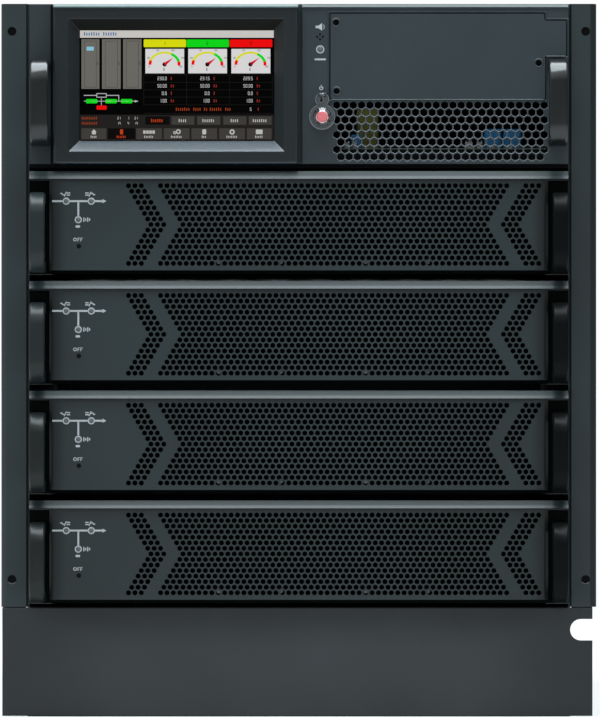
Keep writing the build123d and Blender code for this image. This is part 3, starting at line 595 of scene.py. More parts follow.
def pierced_sheet(shape, outline, holes, y_front, y_back, bevel=0.0):
    """A sheet with holes, each a pair of loops: its rim slopes from the first to the second."""
    loops = [(outline, outline)] + [(rim[::-1], bore[::-1]) for rim, bore in holes]
    points, sunk, edges, owner = [], [], [], []
    for index, (rim, bore) in enumerate(loops):
        first = len(points)
        points += [Vector(point) for point in rim]
        sunk += bore
        owner += [index] * len(rim)
        edges += [(first + i, first + (i + 1) % len(rim)) for i in range(len(rim))]
    _, _, triangles, origins, _, _ = delaunay_2d_cdt(points, edges, [], 1, SAME_POINT)
    count = len(points)
    verts = [(point.x, y_front, point.y) for point in points]
    verts += [(x, y_back, z) for x, z in sunk]
    faces = []
    for triangle in triangles:
        a, b, c = (origins[i][0] for i in triangle)
        rings = {owner[a], owner[b], owner[c]}
        if len(rings) == 1 and 0 not in rings:
            continue
        turn = (points[b] - points[a]).cross(points[c] - points[a])
        front = (a, b, c) if turn > 0 else (a, c, b)
        faces += [front, tuple(count + i for i in reversed(front))]
    if bevel:
        verts += [(x, y_front + bevel, z) for x, z in sunk]
    for i, j in edges:
        if bevel and owner[i]:
            k, m = 2 * count + i, 2 * count + j
            faces += [(i, k, m, j), (k, count + i, count + j, m)]
        else:
            faces.append((i, count + i, count + j, j))
    shape.add(verts, faces)


def insert_mesh():
    """Perforated pads filling the windows, on a sheet that lies on the back of the face."""
    shape = Shape()
    spans = (((FIELD_HOLES, -1), (FIELD_HOLES, 1)), ((CHEVRONS[1], -1), (CHEVRONS[0], -1)),
             ((CHEVRONS[0], 1), (CHEVRONS[1], 1)))
    face_back = FACE_Y + FACE_SHEET
    for left, right in spans:
        centres = window_holes(left, right)
        holes = [[circle(x, z, radius, HOLE_SIDES) for radius in HOLE_RADII] for x, z in centres]
        pierced_sheet(shape, window(left, right, MESH_MARGIN), holes, FACE_Y, face_back, HOLE_BEVEL)
    side, low, high = FACE_HALF - GRILLE_INSET[0], FACE_BOTTOM + GRILLE_INSET[1], FACE_TOP - GRILLE_INSET[1]
    sheet = [(-side, low), (side, low), (side, high), (-side, high)]
    cuts = [[window(left, right, RIM_MARGIN)] * 2 for left, right in spans]
    pierced_sheet(shape, sheet, cuts, face_back, face_back + GRILLE_SHEET)
    return shape


insert = insert_mesh()
for name in MODULES:
    lifted = Shape()
    lifted.add([(x, y, z + BAY_FLOORS[name]) for x, y, z in insert.verts], insert.faces)
    piece = lifted.make(f"{name}_perforated_insert", module_front, name, "module_paint")
    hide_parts(f"{name}_grille")


# Flow diagram, lamps and reset button printed and set in each module front

PRINT = 0.12
LINE_Z, BRANCH_Z, BRANCH_X = 62.1, 47.1, -178.5
LINE_WIDTH, SYMBOL_WIDTH, LETTER_WIDTH = 1.5, 0.9, 0.65
LAMPS = ((-188.3, LINE_Z), (-168.0, LINE_Z), (BRANCH_X, BRANCH_Z))
LAMP_RING = (2.0, 2.9)
RESET = (-178.1, 25.7)

# Profiles of turned pieces are (radius, distance behind the face).
LENS = ((0.5, -0.75), (1.1, -0.62), (1.6, -0.35), (1.9, 0.0), (1.9, 0.05))
COLLAR = ((1.05, -0.1), (1.6, -0.25), (1.9, -0.12), (1.9, 0.05))
PLUNGER = ((0.7, -0.2), (0.85, -0.12), (0.85, 0.04))


def diagram(floor):
    """The white print: a line with an arrow, a branch, lamp rings and plain symbols."""
    shape = Shape()
    planes = skin(FACE_Y, PRINT)

    def line(x0, z0, x1, z1, width):
        shape.stroke((x0, floor + z0), (x1, floor + z1), width, *planes)

    def arc(x, z, radii, start, end, steps):
        shape.arc(x, floor + z, *radii, start, end, *planes, steps)

    for x0, x1 in ((-199.6, -191.3), (-185.3, -171.0), (-165.0, -158.6)):
        line(x0, LINE_Z, x1, LINE_Z, LINE_WIDTH)
    arrow = ((-159.0, -1.7), (-155.8, 0.0), (-159.0, 1.7))
    shape.prism([(x, floor + LINE_Z + rise) for x, rise in arrow], *planes)
    line(BRANCH_X, 61.6, BRANCH_X, 50.2, LINE_WIDTH)
    for x, z in LAMPS:
        arc(x, z, LAMP_RING, 0, 360, 28)
    for x, way in ((-189.0, -1), (-169.0, 1)):
        line(x - 0.9, 65.9, x + 0.9, 69.7, 0.8)
        wave, straight = x + way * 2.5, x - way * 2.5
        for middle, start in ((wave - 0.7, 0), (wave + 0.7, 180)):
            arc(middle, 67.8, (0.3, 1.1), start, start + 180, 8)
        for z in (67.0, 68.7):
            line(straight - 1.4, z, straight + 1.4, z, SYMBOL_WIDTH)
    for x, half in ((-174.0, 1.8), (-172.5, 1.0), (-170.9, 1.8), (-169.4, 1.0)):
        line(x, BRANCH_Z - half, x, BRANCH_Z + half, SYMBOL_WIDTH)
    shape.prism(rounded(-180.8, -177.0, floor + 40.6, floor + 42.5, 0.9), *planes)
    arc(-181.2, 31.0, (0.85, 1.5), 0, 360, 20)
    for x in (-178.9, -176.6):
        line(x, 29.5, x, 32.5, LETTER_WIDTH)
        line(x - 0.3, 32.2, x + 1.6, 32.2, LETTER_WIDTH)
        line(x - 0.3, 30.9, x + 1.2, 30.9, 0.6)
    return shape


def turned_parts(places, profiles, y, sides):
    """Round forms that stand on a face, with the same profiles at each place."""
    shape = Shape()
    for x, z in places:
        for profile in profiles:
            shape.turned(x, z, profile, y, sides)
    return shape


for name in MODULES:
    floor = BAY_FLOORS[name]
    lenses = turned_parts([(x, floor + z) for x, z in LAMPS], [LENS], FACE_Y, 20)
    button = turned_parts([(RESET[0], floor + RESET[1])], [COLLAR, PLUNGER], FACE_Y, 20)
    diagram(floor).make(f"{name}_diagram", white_ink, name)
    lenses.make(f"{name}_lamps", grey_lens, name, smooth=True)
    button.make(f"{name}_reset_button", black_plastic, name, smooth=True)


# Picture on the display, in generic shapes on a grid of 800 steps across

SCREEN_LEFT, SCREEN_TOP = -177.3, 556.7
STEP = 157.0 / 800
LAYER = 0.05
METER_FLATNESS = 0.8
DISPLAY_LIGHT = 0.85

# Layer and sRGB colour of each kind of lit area
LIT_AREAS = {
    "title": (1, (212, 209, 204)),
    "title_marks": (2, (60, 110, 165)),
    "cabinets": (1, (112, 110, 104)),
    "seams": (2, (62, 60, 58)),
    "window": (3, (140, 205, 230)),
    "yellow": (2, (228, 230, 10)),
    "green": (2, (10, 224, 24)),
    "red": (2, (250, 6, 6)),
    "panels": (1, (228, 226, 227)),
    "white": (2, (196, 196, 196)),
    "orange": (2, (160, 62, 30)),
    "tabs": (2, (66, 63, 59)),
    "dim": (1, (34, 31, 29)),
    "dark": (3, (6, 4, 4)),
    "needles": (3, (222, 26, 44)),
    "tab_marks": (3, (196, 196, 194)),
    "crimson": (2, (146, 42, 38)),
    "chosen": (4, (204, 64, 24)),
}
SEGMENTS = {"0": "abcdef", "1": "bc", "2": "abged", "3": "abgcd", "4": "fgbc", "5": "afgcd",
            "6": "afgedc", "7": "abc", "8": "abcdefg", "9": "abcdfg"}
COLUMNS = ((263, 438), (440, 615), (618, 794))
READINGS = (("230.0", "231.5", "229.5"), ("50.00",) * 3, ("0.0",) * 3, ("1.00",) * 3)
SCALE_FIGURES = (("0", -61, 9), ("100", -60, -27), ("150", -22, -58),
                 ("200", 42, -58), ("250", 82, -27), ("300", 74, 9))
NEEDLE_TURN, NEEDLE_LENGTH, NEEDLE_HALF = math.radians(37), 46, 7
HAIRLINE = 0.7
FIRST_TABS = ((270, 369), (378, 472), (484, 579), (592, 687), (697, 791))
SECOND_TABS = ((6, 109), (115, 228), (232, 338), (346, 452), (460, 566), (575, 681), (689, 791))


class Picture:
    """Flat lit areas of one colour at one layer, in steps from the top left of the screen."""

    def __init__(self, layer):
        self.shape = Shape()
        self.planes = (SCREEN_Y - layer * LAYER, SCREEN_Y)

    def at(self, x, y):
        return SCREEN_LEFT + x * STEP, SCREEN_TOP - y * STEP

    def area(self, x0, y0, x1, y1, round_by=0.0):
        left, top = self.at(x0, y0)
        right, bottom = self.at(x1, y1)
        if round_by:
            self.shape.prism(rounded(left, right, bottom, top, round_by * STEP), *self.planes)
        else:
            self.shape.bar(left, right, bottom, top, *self.planes)

    def outline(self, x0, y0, x1, y1, width):
        self.area(x0, y0, x1, y0 + width)
        self.area(x0, y1 - width, x1, y1)
        self.area(x0, y0 + width, x0 + width, y1 - width)
        self.area(x1 - width, y0 + width, x1, y1 - width)

    def line(self, start, end, width):
        self.shape.stroke(self.at(*start), self.at(*end), width * STEP, *self.planes)

    def ring(self, centre, inner, outer, steps):
        self.shape.arc(*self.at(*centre), inner * STEP, outer * STEP, 0, 360, *self.planes, steps)

    def bow(self, centre, inner, outer, start, end):
        """A band along a flattened arc, made of short straight pieces."""
        steps = max(2, (end - start) // 8)
        turns = [math.radians(start + (end - start) * i / steps) for i in range(steps + 1)]
        for turn, following in zip(turns, turns[1:]):
            corners = ((inner, turn), (outer, turn), (outer, following), (inner, following))
            self.patch(*[(centre[0] + r * math.cos(a), centre[1] - METER_FLATNESS * r * math.sin(a))
                         for r, a in corners])

    def spot(self, centre, radius):
        self.shape.disc(*self.at(*centre), radius * STEP, *self.planes)

    def patch(self, *points):
        """A flat area given by its corners, in anticlockwise order as seen."""
        self.shape.prism([self.at(*point) for point in points], *self.planes)

    def marks(self, x, y, count, size):
        """A row of short strokes that stands for a line of small type."""
        for index in range(count):
            rise = (1.0, 0.7, 0.7, 0.85)[index % 4] * size
            left = x + index * 0.66 * size
            self.area(left, y - rise / 2, left + 0.3 * size, y + size / 2)

    def figure(self, x, y, text, size):
        """Seven-segment figures with their right end at x, centred on y."""
        width, thick = 0.5 * size, 0.12 * size
        top, middle, bottom = y - size / 2, y - thick / 2, y + size / 2
        for character in reversed(text):
            if character == ".":
                x -= 2 * thick
                self.area(x, bottom - thick, x + thick, bottom)
                continue
            x -= width + 0.16 * size
            end = x + width
            boxes = {
                "a": (x, top, end, top + thick), "g": (x, middle, end, middle + thick),
                "d": (x, bottom - thick, end, bottom),
                "f": (x, top, x + thick, y), "b": (end - thick, top, end, y),
                "e": (x, y, x + thick, bottom), "c": (end - thick, y, end, bottom),
            }
            for segment in SEGMENTS[character]:
                self.area(*boxes[segment])


def title_bar(ink):
    ink.title.area(0, 3, 800, 33)
    for x, count in ((16, 7), (96, 6)):
        ink.title_marks.marks(x, 17, count, 15)


def cabinet_icons(ink):
    """Three cabinet doors, the first with a lit window."""
    for left, right in ((6, 80), (91, 168), (178, 254)):
        ink.cabinets.area(left, 39, right, 244)
        ink.seams.outline(left + 12, 46, right - 12, 238, 1.6)
        ink.seams.area(right - 9, 133, right - 6, 146)
    ink.window.area(27, 70, 57, 86, 2)


def phase_meters(ink):
    """A coloured heading over each column, and a round meter with its scale and needle."""
    cosine, sine = math.cos(NEEDLE_TURN), math.sin(NEEDLE_TURN)
    bands = ((ink.red, 54, 160, 182), (ink.yellow, 56, 62, 160),
             (ink.green, 54, 14, 62), (ink.red, 54, -6, 14))
    for number, heading in enumerate((ink.yellow, ink.green, ink.red), 1):
        left, right = COLUMNS[number - 1]
        heading.area(left, 40, right, 72, 4)
        ink.dark.figure((left + right) / 2 + 4, 56, str(number), 14)
        ink.panels.area(left + 7, 79, right - 8, 180)
        x, y = left + 86, 143
        for colour, inner, start, end in bands:
            colour.bow((x, y), inner, 66, start, end)
        for text, across, down in SCALE_FIGURES:
            ink.seams.figure(x + across, y + down, text, 7)
        ink.needles.patch((x + NEEDLE_HALF * sine, y + NEEDLE_HALF * cosine),
                          (x + NEEDLE_LENGTH * cosine, y - NEEDLE_LENGTH * sine),
                          (x - NEEDLE_HALF * sine, y - NEEDLE_HALF * cosine))
        ink.dark.spot((x, y), 9)
        ink.seams.marks(x - 4, 164, 1, 12)


def readings_table(ink):
    """Figures and units under each meter on a grid of thin lines, with a line of text below."""
    for index, (left, _) in enumerate(COLUMNS):
        for row, texts in enumerate(READINGS):
            middle = 201 + row * 30.7
            ink.white.figure(left + 97, middle, texts[index], 14)
            ink.crimson.marks(left + 112, middle, 1 + row % 2, 13)
    for y in (186, 217, 248, 278, 310, 345):
        ink.dim.area(263, y - HAIRLINE, 794, y + HAIRLINE)
    for x in (263, 440, 618, 794):
        ink.dim.area(x - HAIRLINE, 186, x + HAIRLINE, 310)
    for count, x in ((7, 396), (4, 468), (2, 512), (6, 536), (3, 600)):
        ink.orange.marks(x, 328, count, 13)
    ink.white.figure(710, 328, "5", 13)
    ink.crimson.marks(734, 328, 1, 13)


def flow_lines(ink):
    """A supply line with a branch, an arrow and lit boxes."""
    lines = (((16, 271), (68, 271), 3), ((110, 271), (161, 271), 3), ((160, 271), (160, 294), 3),
             ((16, 295), (226, 295), 2.4), ((88, 281), (88, 312), 2.4))
    for start, end, width in lines:
        ink.white.line(start, end, width)
    ink.white.outline(68, 262, 110, 280, 3)
    ink.white.patch((226, 300), (241, 295), (226, 290))
    for left in (25, 105, 169):
        ink.green.area(left, 286, left + 47, 304, 4)
    ink.red.area(68, 313, 110, 330, 4)


def tab_rows(ink):
    """Two rows of tabs with marks, one tab in each row chosen, and two lines of figures beside them."""
    ink.dim.area(0, 351, 800, 457.5)
    for y, number in ((365, "21"), (386, "14")):
        ink.orange.marks(8, y, 9, 11)
        for x, text in ((169, number), (204, number[1]), (240, number)):
            ink.white.figure(x, y, text, 11)
    rows = ((FIRST_TABS, 0, (358, 392), (375, 13, 4.3), (6, 4, 6, 4, 7)),
            (SECOND_TABS, 1, (407, 452), (442, 10, 3.3), (4, 6, 6, 7, 3, 7, 5)))
    for tabs, chosen, (top, bottom), (mark_y, size, half_step), counts in rows:
        for index, ((left, right), count) in enumerate(zip(tabs, counts)):
            ink.tabs.area(left, top, right, bottom)
            colour = ink.tab_marks
            if index == chosen:
                ink.dark.area(left, top, right, bottom)
                colour = ink.chosen
            colour.marks((left + right) / 2 - count * half_step, mark_y, count, size)


def tab_icons(ink):
    """A plain icon on each tab of the second row."""
    house, lamp, cells, gears, page, dial, card = [(left + right) / 2 for left, right in SECOND_TABS]
    ink.tab_marks.patch((house - 11, 422), (house + 11, 422), (house, 411))
    ink.tab_marks.area(house - 8, 422, house + 8, 432)
    ink.chosen.area(lamp - 6, 411, lamp + 6, 432, 2)
    for index in range(4):
        left = cells - 24 + index * 12.6
        ink.tab_marks.area(left, 416, left + 10, 429)
    ink.tab_marks.ring((gears - 8, 425), 3, 6.5, 16)
    ink.tab_marks.ring((gears + 7, 421), 5, 10, 18)
    ink.tab_marks.area(page - 8, 411, page + 8, 432, 3)
    ink.tab_marks.ring((dial, 422), 5, 11, 18)
    ink.tab_marks.area(card - 14, 412, card + 14, 431, 2)


pictures = {name: Picture(layer) for name, (layer, _) in LIT_AREAS.items()}
for draw in (title_bar, cabinet_icons, phase_meters, readings_table, flow_lines, tab_rows, tab_icons):
    draw(SimpleNamespace(**pictures))
for name, (_, colour) in LIT_AREAS.items():
    light = lit(f"display_{name}", linear(*colour))
    pictures[name].shape.make(f"display_{name}", light, "cabinet", "screen_glass")


# Sounder, status lamp, folds and edges of the bypass panel

DEEP = 0.1
SOUNDER_HOLE = 0.95
STATUS_LAMP = (17.4, 540.8)
STATUS_LENS = ((0.5, -0.7), (1.3, -0.6), (1.9, -0.35), (2.25, 0.0), (2.25, 0.05))
SPEAKER = ((13.6, 558.0), (15.9, 558.0), (18.9, 555.9), (18.9, 562.1), (15.9, 560.0), (13.6, 560.0))

# Corners of the cover plate, anticlockwise, each with its outward way along X and Z
COVER_CORNERS = ((25.7, 500.7, -1, -1), (199.6, 500.7, 1, -1), (199.6, 535.9, 1, -1), (216.5, 535.9, 1, -1),
                 (216.5, 564.0, 1, 1), (198.8, 564.0, 1, 1), (198.8, 569.6, 1, 1), (25.7, 569.6, -1, 1))

# Sections of strips round the cover plate are (margin, height over the panel).
GAP_SHADOW_SECTION = ((0.7, 0.04), (0.7, -0.1), (0.0, -0.1), (0.0, 0.04))
LIP_SECTION = ((0.65, 0.05), (1.5, 0.65), (1.7, 0.6), (2.2, 0.05), (2.3, -0.1), (0.6, -0.1))
SILL_SECTION = ((0.1, -0.1), (0.15, 1.45), (0.75, 1.95), (1.0, 1.95), (1.8, -0.1))
FOLD_SECTION = ((0.1, 573.9), (-1.3, 574.9), (-1.3, 575.1), (0.1, 577.2))


def bypass_print():
    """A speaker symbol over the sounder, and a ring and a bar that mark the lamp and the button."""
    shape = Shape()
    planes = skin(BYPASS_Y, PRINT)
    shape.prism(SPEAKER, *planes)
    shape.arc(17.6, 559.0, 2.7, 3.2, -40, 40, *planes, 8)
    shape.arc(*STATUS_LAMP, 2.5, 3.3, 0, 360, *planes, 32)
    shape.bar(12.8, 21.8, 532.0, 533.4, *planes)
    shape.arc(18.2, 509.4, 1.0, 1.7, 130, 410, *planes, 20)
    shape.bar(17.85, 18.55, 509.5, 511.9, *planes)
    return shape


def sounder_holes():
    """Four dark holes set in a diamond."""
    shape = Shape()
    for x, z in ((17.2, 553.0), (14.9, 551.0), (19.5, 551.0), (17.2, 549.0)):
        shape.disc(x, z, SOUNDER_HOLE, *skin(BYPASS_Y, 0.03, DEEP), 16)
    return shape


def cover_strip(section):
    """A closed strip round the cover plate."""
    shape = Shape()
    rings = [[(x + way * margin, BYPASS_Y - height, z + rise * margin) for x, z, way, rise in COVER_CORNERS]
             for margin, height in section]
    shape.loft(rings, wrap=True)
    return shape


def cover_sills():
    """The raised lips along the lower edges of the cover plate."""
    shape = Shape()
    for x0, x1, z in ((26.5, 199.0, 500.7), (200.4, 216.0, 535.9)):
        shape.loft([[(x, BYPASS_Y - height, z - drop) for drop, height in SILL_SECTION] for x in (x1, x0)])
    return shape


def top_fold(x0, x1, y):
    """The rounded fold along the top of a panel."""
    shape = Shape()
    shape.loft([[(x, y + behind, z) for behind, z in FOLD_SECTION] for x in (x0, x1)])
    return shape


# Screws

SCREW_SIDES = 28
SCREW_DEPTH = 0.3
SCREW_LEVELS = (0.01, 0.02, 0.03)
CASE_SCREW, COVER_SCREW = 2.6, 1.7
DIMPLE_RADIUS = 2.55
DIMPLE_RIM = ((2.5, 0.05), (DIMPLE_RADIUS, -0.1), (3.0, -0.42), (3.3, -0.45), (4.1, 0.05))
FAN_SCREW_INSET, FAN_SCREW, FAN_SCREW_HEAD = 5.0, 1.9, 0.8
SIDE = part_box("right_side_panel")[1][0] / MM
REAR, ROOF = cad_box[1][1] / MM, cad_box[1][2] / MM


def flush_screw(heads, recess_shades, place, outward, radius):
    """A countersunk screw level with the sheet: a flat head in a dark ring and a dark cross in it, as
    painted shade of its recess.
    """
    normal = Vector(outward)
    across = normal.orthogonal().normalized()
    along = normal.cross(across)

    def plate(shape, outline, low, high):
        points = [Vector(place) + a * across + b * along for a, b in outline]
        shape.loft([[point + rise * normal for point in points] for rise in (high, low)])

    arm, slot = 0.55 * radius, 0.14 * radius
    cross = [(arm, -slot), (arm, slot), (slot, slot), (slot, arm), (-slot, arm), (-slot, slot),
             (-arm, slot), (-arm, -slot), (-slot, -slot), (-slot, -arm), (slot, -arm), (slot, -slot)]
    ring_level, head_level, cross_level = SCREW_LEVELS
    plate(recess_shades, circle(0, 0, 1.14 * radius, SCREW_SIDES), -SCREW_DEPTH, ring_level)
    plate(heads, circle(0, 0, radius, SCREW_SIDES), -SCREW_DEPTH, head_level)
    plate(recess_shades, cross, 0.0, cross_level)


def cover_screws():
    """Three sunk screws of the bypass cover plate in dimples with raised rims; the dimples are black, as
    painted shade.
    """
    screws, recess_shades, rims = Shape(), Shape(), Shape()
    for x, z in ((30.2, 562.4), (30.6, 506.8), (194.4, 529.6)):
        flush_screw(screws, recess_shades, (x, COVER_Y, z), (0, -1, 0), COVER_SCREW)
        recess_shades.disc(x, z, DIMPLE_RADIUS, *skin(COVER_Y, 0.02, DEEP), SCREW_SIDES)
        rims.turned(x, z, DIMPLE_RIM, COVER_Y, SCREW_SIDES, wrap=True)
    screws.make("cover_plate_screws", dark_screw, "cabinet")
    recess_shades.make("cover_plate_screw_recesses", black_plastic, "cabinet")
    rims.make("cover_plate_screw_rims", panel_paint, "cabinet", smooth=True)


def case_screws():
    """Countersunk screws in the rear wall, the terminal cover, the sides and the roof."""
    heads, recess_shades = Shape(), Shape()
    places = []
    for x in (-212, -106, 0, 106, 212):
        places += [((x, REAR, z), (0, 1, 0)) for z in (82.0, 96.0, 571.0)]
        places += [((x * 0.95, y, ROOF), (0, 0, 1)) for y in (-320, 366)]
    for x in (-212, 212):
        places += [((x, REAR, z), (0, 1, 0)) for z in (9.0, 215.0, 334.0, 453.0)]
    for way in (-1, 1):
        for y in (-310, -80, 150, 360):
            places += [((way * SIDE, y, z), (way, 0, 0)) for z in (9.0, 88.0, 446.0, 566.0)]
    for place, outward in places:
        flush_screw(heads, recess_shades, place, outward, CASE_SCREW)
    heads.make("case_screws", case_screw, "cabinet")
    recess_shades.make("case_screw_recesses", black_plastic, "cabinet")


def fan_screws(name):
    """The two lower screws of each fan, which glint behind the perforations."""
    shape = Shape()
    low, high = [[value / MM for value in corner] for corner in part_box(f"{name}_fans")]
    size = high[2] - low[2]
    for left in (low[0], high[0] - size):
        for x in (left + FAN_SCREW_INSET, left + size - FAN_SCREW_INSET):
            shape.disc(x, low[2] + FAN_SCREW_INSET, FAN_SCREW, *skin(low[1], FAN_SCREW_HEAD, DEEP), 12)
    return shape


# Edges of the flip cover with painted highlights, the parts on the board, and the joints of the rack ears
# with painted shadow

EPO_X, EPO_Z, LOBE_Z = 18.9, 486.0, 500.2
FLANGE_Y, BASE_Y = -341.1, -339.5
FLANGE_RADIUS, LOBE_RADIUS = 10.5, 5.6
EDGE_WIDTH, EDGE_PROUD = 0.5, 0.08
HOLE_X, HOLE_Z, HOLE = EPO_X - 0.6, LOBE_Z - 0.8, 1.3
BOARD_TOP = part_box("circuit_board")[1][2] / MM
CONNECTOR_HEIGHT, LATCH_HEIGHT, PAD_HEIGHT = 7.0, 1.2, 4.2
CAN_Y, CAN_SIDES = -290.0, 20
CAN_PROFILE = ((2.4, 15.2), (3.2, 15.0), (3.6, 14.2), (3.6, 0.0))
EAR_HOLE_X, EAR_HOLE_Z, EAR_HOLE = 232.55, (111.1, 555.6), 3.6
EAR_BACK = RACK_Y + 2.0
NUT_HALF, NUT_DEPTH = 6.2, 4.0


def cover_marks():
    """Painted highlights on the pale edge of the flip cover's flange, broader along its lower part, on the
    edges of its lobe and of the seat under it, and round the drop-shaped hole in its lobe, which is black.
    """
    edge, hole, seat = Shape(), Shape(), Shape()
    planes = skin(FLANGE_Y, EDGE_PROUD)
    inside = FLANGE_RADIUS - EDGE_WIDTH
    edge.arc(EPO_X, EPO_Z, inside, FLANGE_RADIUS, 110, 430, *planes, 48)
    edge.arc(EPO_X, EPO_Z, inside - EDGE_WIDTH, inside, 200, 335, *planes, 24)
    for start, end in ((-50, 45), (135, 230)):
        edge.arc(EPO_X, LOBE_Z, LOBE_RADIUS - EDGE_WIDTH, LOBE_RADIUS, start, end, *planes, 16)
    edge.arc(HOLE_X, HOLE_Z, HOLE, HOLE + 0.4, 120, 420, *planes, 24)
    hole.disc(HOLE_X, HOLE_Z, HOLE, *planes, 24)
    hole.bar(HOLE_X - 0.5, HOLE_X + 0.5, LOBE_Z, LOBE_Z + 1.8, *planes)
    seat.arc(EPO_X, LOBE_Z, LOBE_RADIUS - 1.1, LOBE_RADIUS - 0.6, 40, 140, *skin(BASE_Y, EDGE_PROUD), 16)
    edge.make("flip_cover_edge_highlight", pale_highlight_finish, "epo_cover", "clear_moulding")
    hole.make("flip_cover_hole", black_plastic, "epo_cover", "clear_moulding")
    seat.make("flip_cover_seat_highlight", pale_highlight_finish, "cabinet")


def capacitor_tops():
    """The cut front edge of the board and the coloured tops of the large capacitors."""
    edge, blue, yellow = Shape(), Shape(), Shape()
    edge.bar(33.0, 201.0, BOARD_TOP - 0.2, BOARD_TOP + 2.0, -318.0, -317.4)
    tops = ((42.6, 51.0, 468.8, 472.4), (151.3, 164.5, 473.6, 477.0), (166.7, 180.7, 473.6, 477.0))
    for x0, x1, low, high in tops:
        blue.bar(x0, x1, low, high, -313.2, -293.8)
    yellow.bar(47.4, 64.6, 489.2, 494.4, -279.2, -247.8)
    edge.make("board_front_edge", board_edge, "cabinet")
    blue.make("blue_capacitor_tops", blue_case, "cabinet")
    yellow.make("yellow_capacitor_top", yellow_case, "cabinet")


def board_connectors():
    """White connectors with two latches each, and low pads, along the front of the board."""
    shape = Shape()
    top = BOARD_TOP + CONNECTOR_HEIGHT
    for x, width in ((39.2, 4.0), (45.6, 3.0), (138.4, 6.0), (147.0, 4.5)):
        shape.bar(x - width / 2, x + width / 2, BOARD_TOP, top, -316.0, -309.0)
        for latch in (x - 0.35 * width, x + 0.35 * width):
            shape.bar(latch - 0.4, latch + 0.4, top, top + LATCH_HEIGHT, -315.0, -310.0)
    for x in (46.4, 157.0, 171.4):
        shape.bar(x - 2.2, x + 2.2, BOARD_TOP, BOARD_TOP + PAD_HEIGHT, -315.0, -313.6)
    return shape


def can_capacitors():
    shape = Shape()
    for can_x in (78.0, 110.0, 121.0):
        shape.loft([[(x, y, BOARD_TOP + height) for x, y in circle(can_x, CAN_Y, radius, CAN_SIDES)]
                    for radius, height in CAN_PROFILE])
    return shape


def ear_nuts():
    """Closed cage nuts behind the four holes of the rack ears."""
    shape = Shape()
    for x in (-EAR_HOLE_X, EAR_HOLE_X):
        for z in EAR_HOLE_Z:
            shape.bar(x - NUT_HALF, x + NUT_HALF, z - NUT_HALF, z + NUT_HALF, EAR_BACK, EAR_BACK + NUT_DEPTH)
    return shape


def ear_joints():
    """Dark strips as painted shadow in the joints beside the ears and the bezel, and the strips that close
    the joint under the ears.
    """
    shape = Shape()
    joints = ((-221.0, -220.0, 89.2, 577.6), (220.0, 221.0, 89.2, 577.6), (-201.3, -199.0, 448.2, 577.0))
    for x0, x1, z0, z1 in joints:
        shape.bar(x0, x1, z0, z1, *skin(RACK_Y, 0.06, 0.05))
    for x0, x1 in ((-240.0, -221.0), (221.0, 237.8)):
        shape.bar(x0, x1, 86.0, 92.0, EAR_BACK, EAR_BACK + 0.5)
    return shape


def ear_hole_edges():
    """The lit lower edge of the two lower holes in the ears."""
    shape = Shape()
    for x in (-EAR_HOLE_X, EAR_HOLE_X):
        shape.arc(x, EAR_HOLE_Z[0], EAR_HOLE - 0.4, EAR_HOLE, 215, 325, RACK_Y + 0.1, RACK_Y + 1.9, 12)
    return shape


bypass_print().make("bypass_print", white_ink, "cabinet")
sounder_holes().make("sounder_holes", black_plastic, "cabinet")
status_lamp = turned_parts([STATUS_LAMP], [STATUS_LENS], BYPASS_Y, 24)
status_lamp.make("status_lamp", grey_lens, "cabinet", smooth=True)
# A dark strip round the cover plate: painted shadow in the gap beside it
cover_strip(GAP_SHADOW_SECTION).make("cover_plate_gap_shadow", black_paint_and_shadow, "cabinet")
cover_strip(LIP_SECTION).make("cover_plate_lip", panel_paint, "cabinet")
cover_sills().make("cover_plate_sills", panel_paint, "cabinet")
cover_screws()
# The top folds of the bezel and the bypass panel, with their painted highlight
top_fold(-198.6, -0.6, BEZEL_Y).make("bezel_top_fold", bezel_fold, "cabinet")
top_fold(2.8, 218.3, BYPASS_Y).make("bypass_top_fold", panel_fold, "cabinet")
cover_marks()
for name in MODULES:
    fan_screws(name).make(f"{name}_fan_screws", fan_zinc, name, "fan_plastic")
capacitor_tops()
board_connectors().make("board_connectors", white_plastic, "cabinet")
can_capacitors().make("board_can_capacitors", black_plastic, "cabinet", smooth=True)
case_screws()
ear_nuts().make("ear_nuts", black_plastic, "cabinet")
ear_joints().make("ear_joints", black_paint_and_shadow, "cabinet")
ear_hole_edges().make("ear_hole_edges", pale_highlight_finish, "cabinet")


# Softened edges, which catch the light along the sheet metal

FINE_EDGES = ["lower_front_panel", "unit_front_plate", "top_cover",
              *(f"{name}_front_panel" for name in MODULES)]
WEB_EDGES = ["bypass_front_panel"]
BROAD_EDGES = ["display_bezel", "bypass_cover_plate", "unit_handles",
               *(f"{name}_handles" for name in MODULES)]
EDGE_ANGLE = math.radians(40)
WELD_DISTANCE = 1e-6


def soften(piece, width, clamp):
    """Round the sharp edges of a piece and keep its flats level in the shading."""
    piece.data.shade_smooth()
    piece.modifiers.new("weld", "WELD").merge_threshold = WELD_DISTANCE
    bevel = piece.modifiers.new("soft_edges", "BEVEL")
    bevel.width = width * MM
    bevel.segments = 2
    bevel.use_clamp_overlap = clamp
    bevel.limit_method = "ANGLE"
    bevel.angle_limit = EDGE_ANGLE
    piece.modifiers.new("level_flats", "WEIGHTED_NORMAL").keep_sharp = True


for names, width in ((FINE_EDGES, 0.35), (WEB_EDGES, 0.5), (BROAD_EDGES, 0.7)):
    for name in names:
        soften(nodes[name], width, clamp=names is not WEB_EDGES)


# Camera, floor and light, in metres

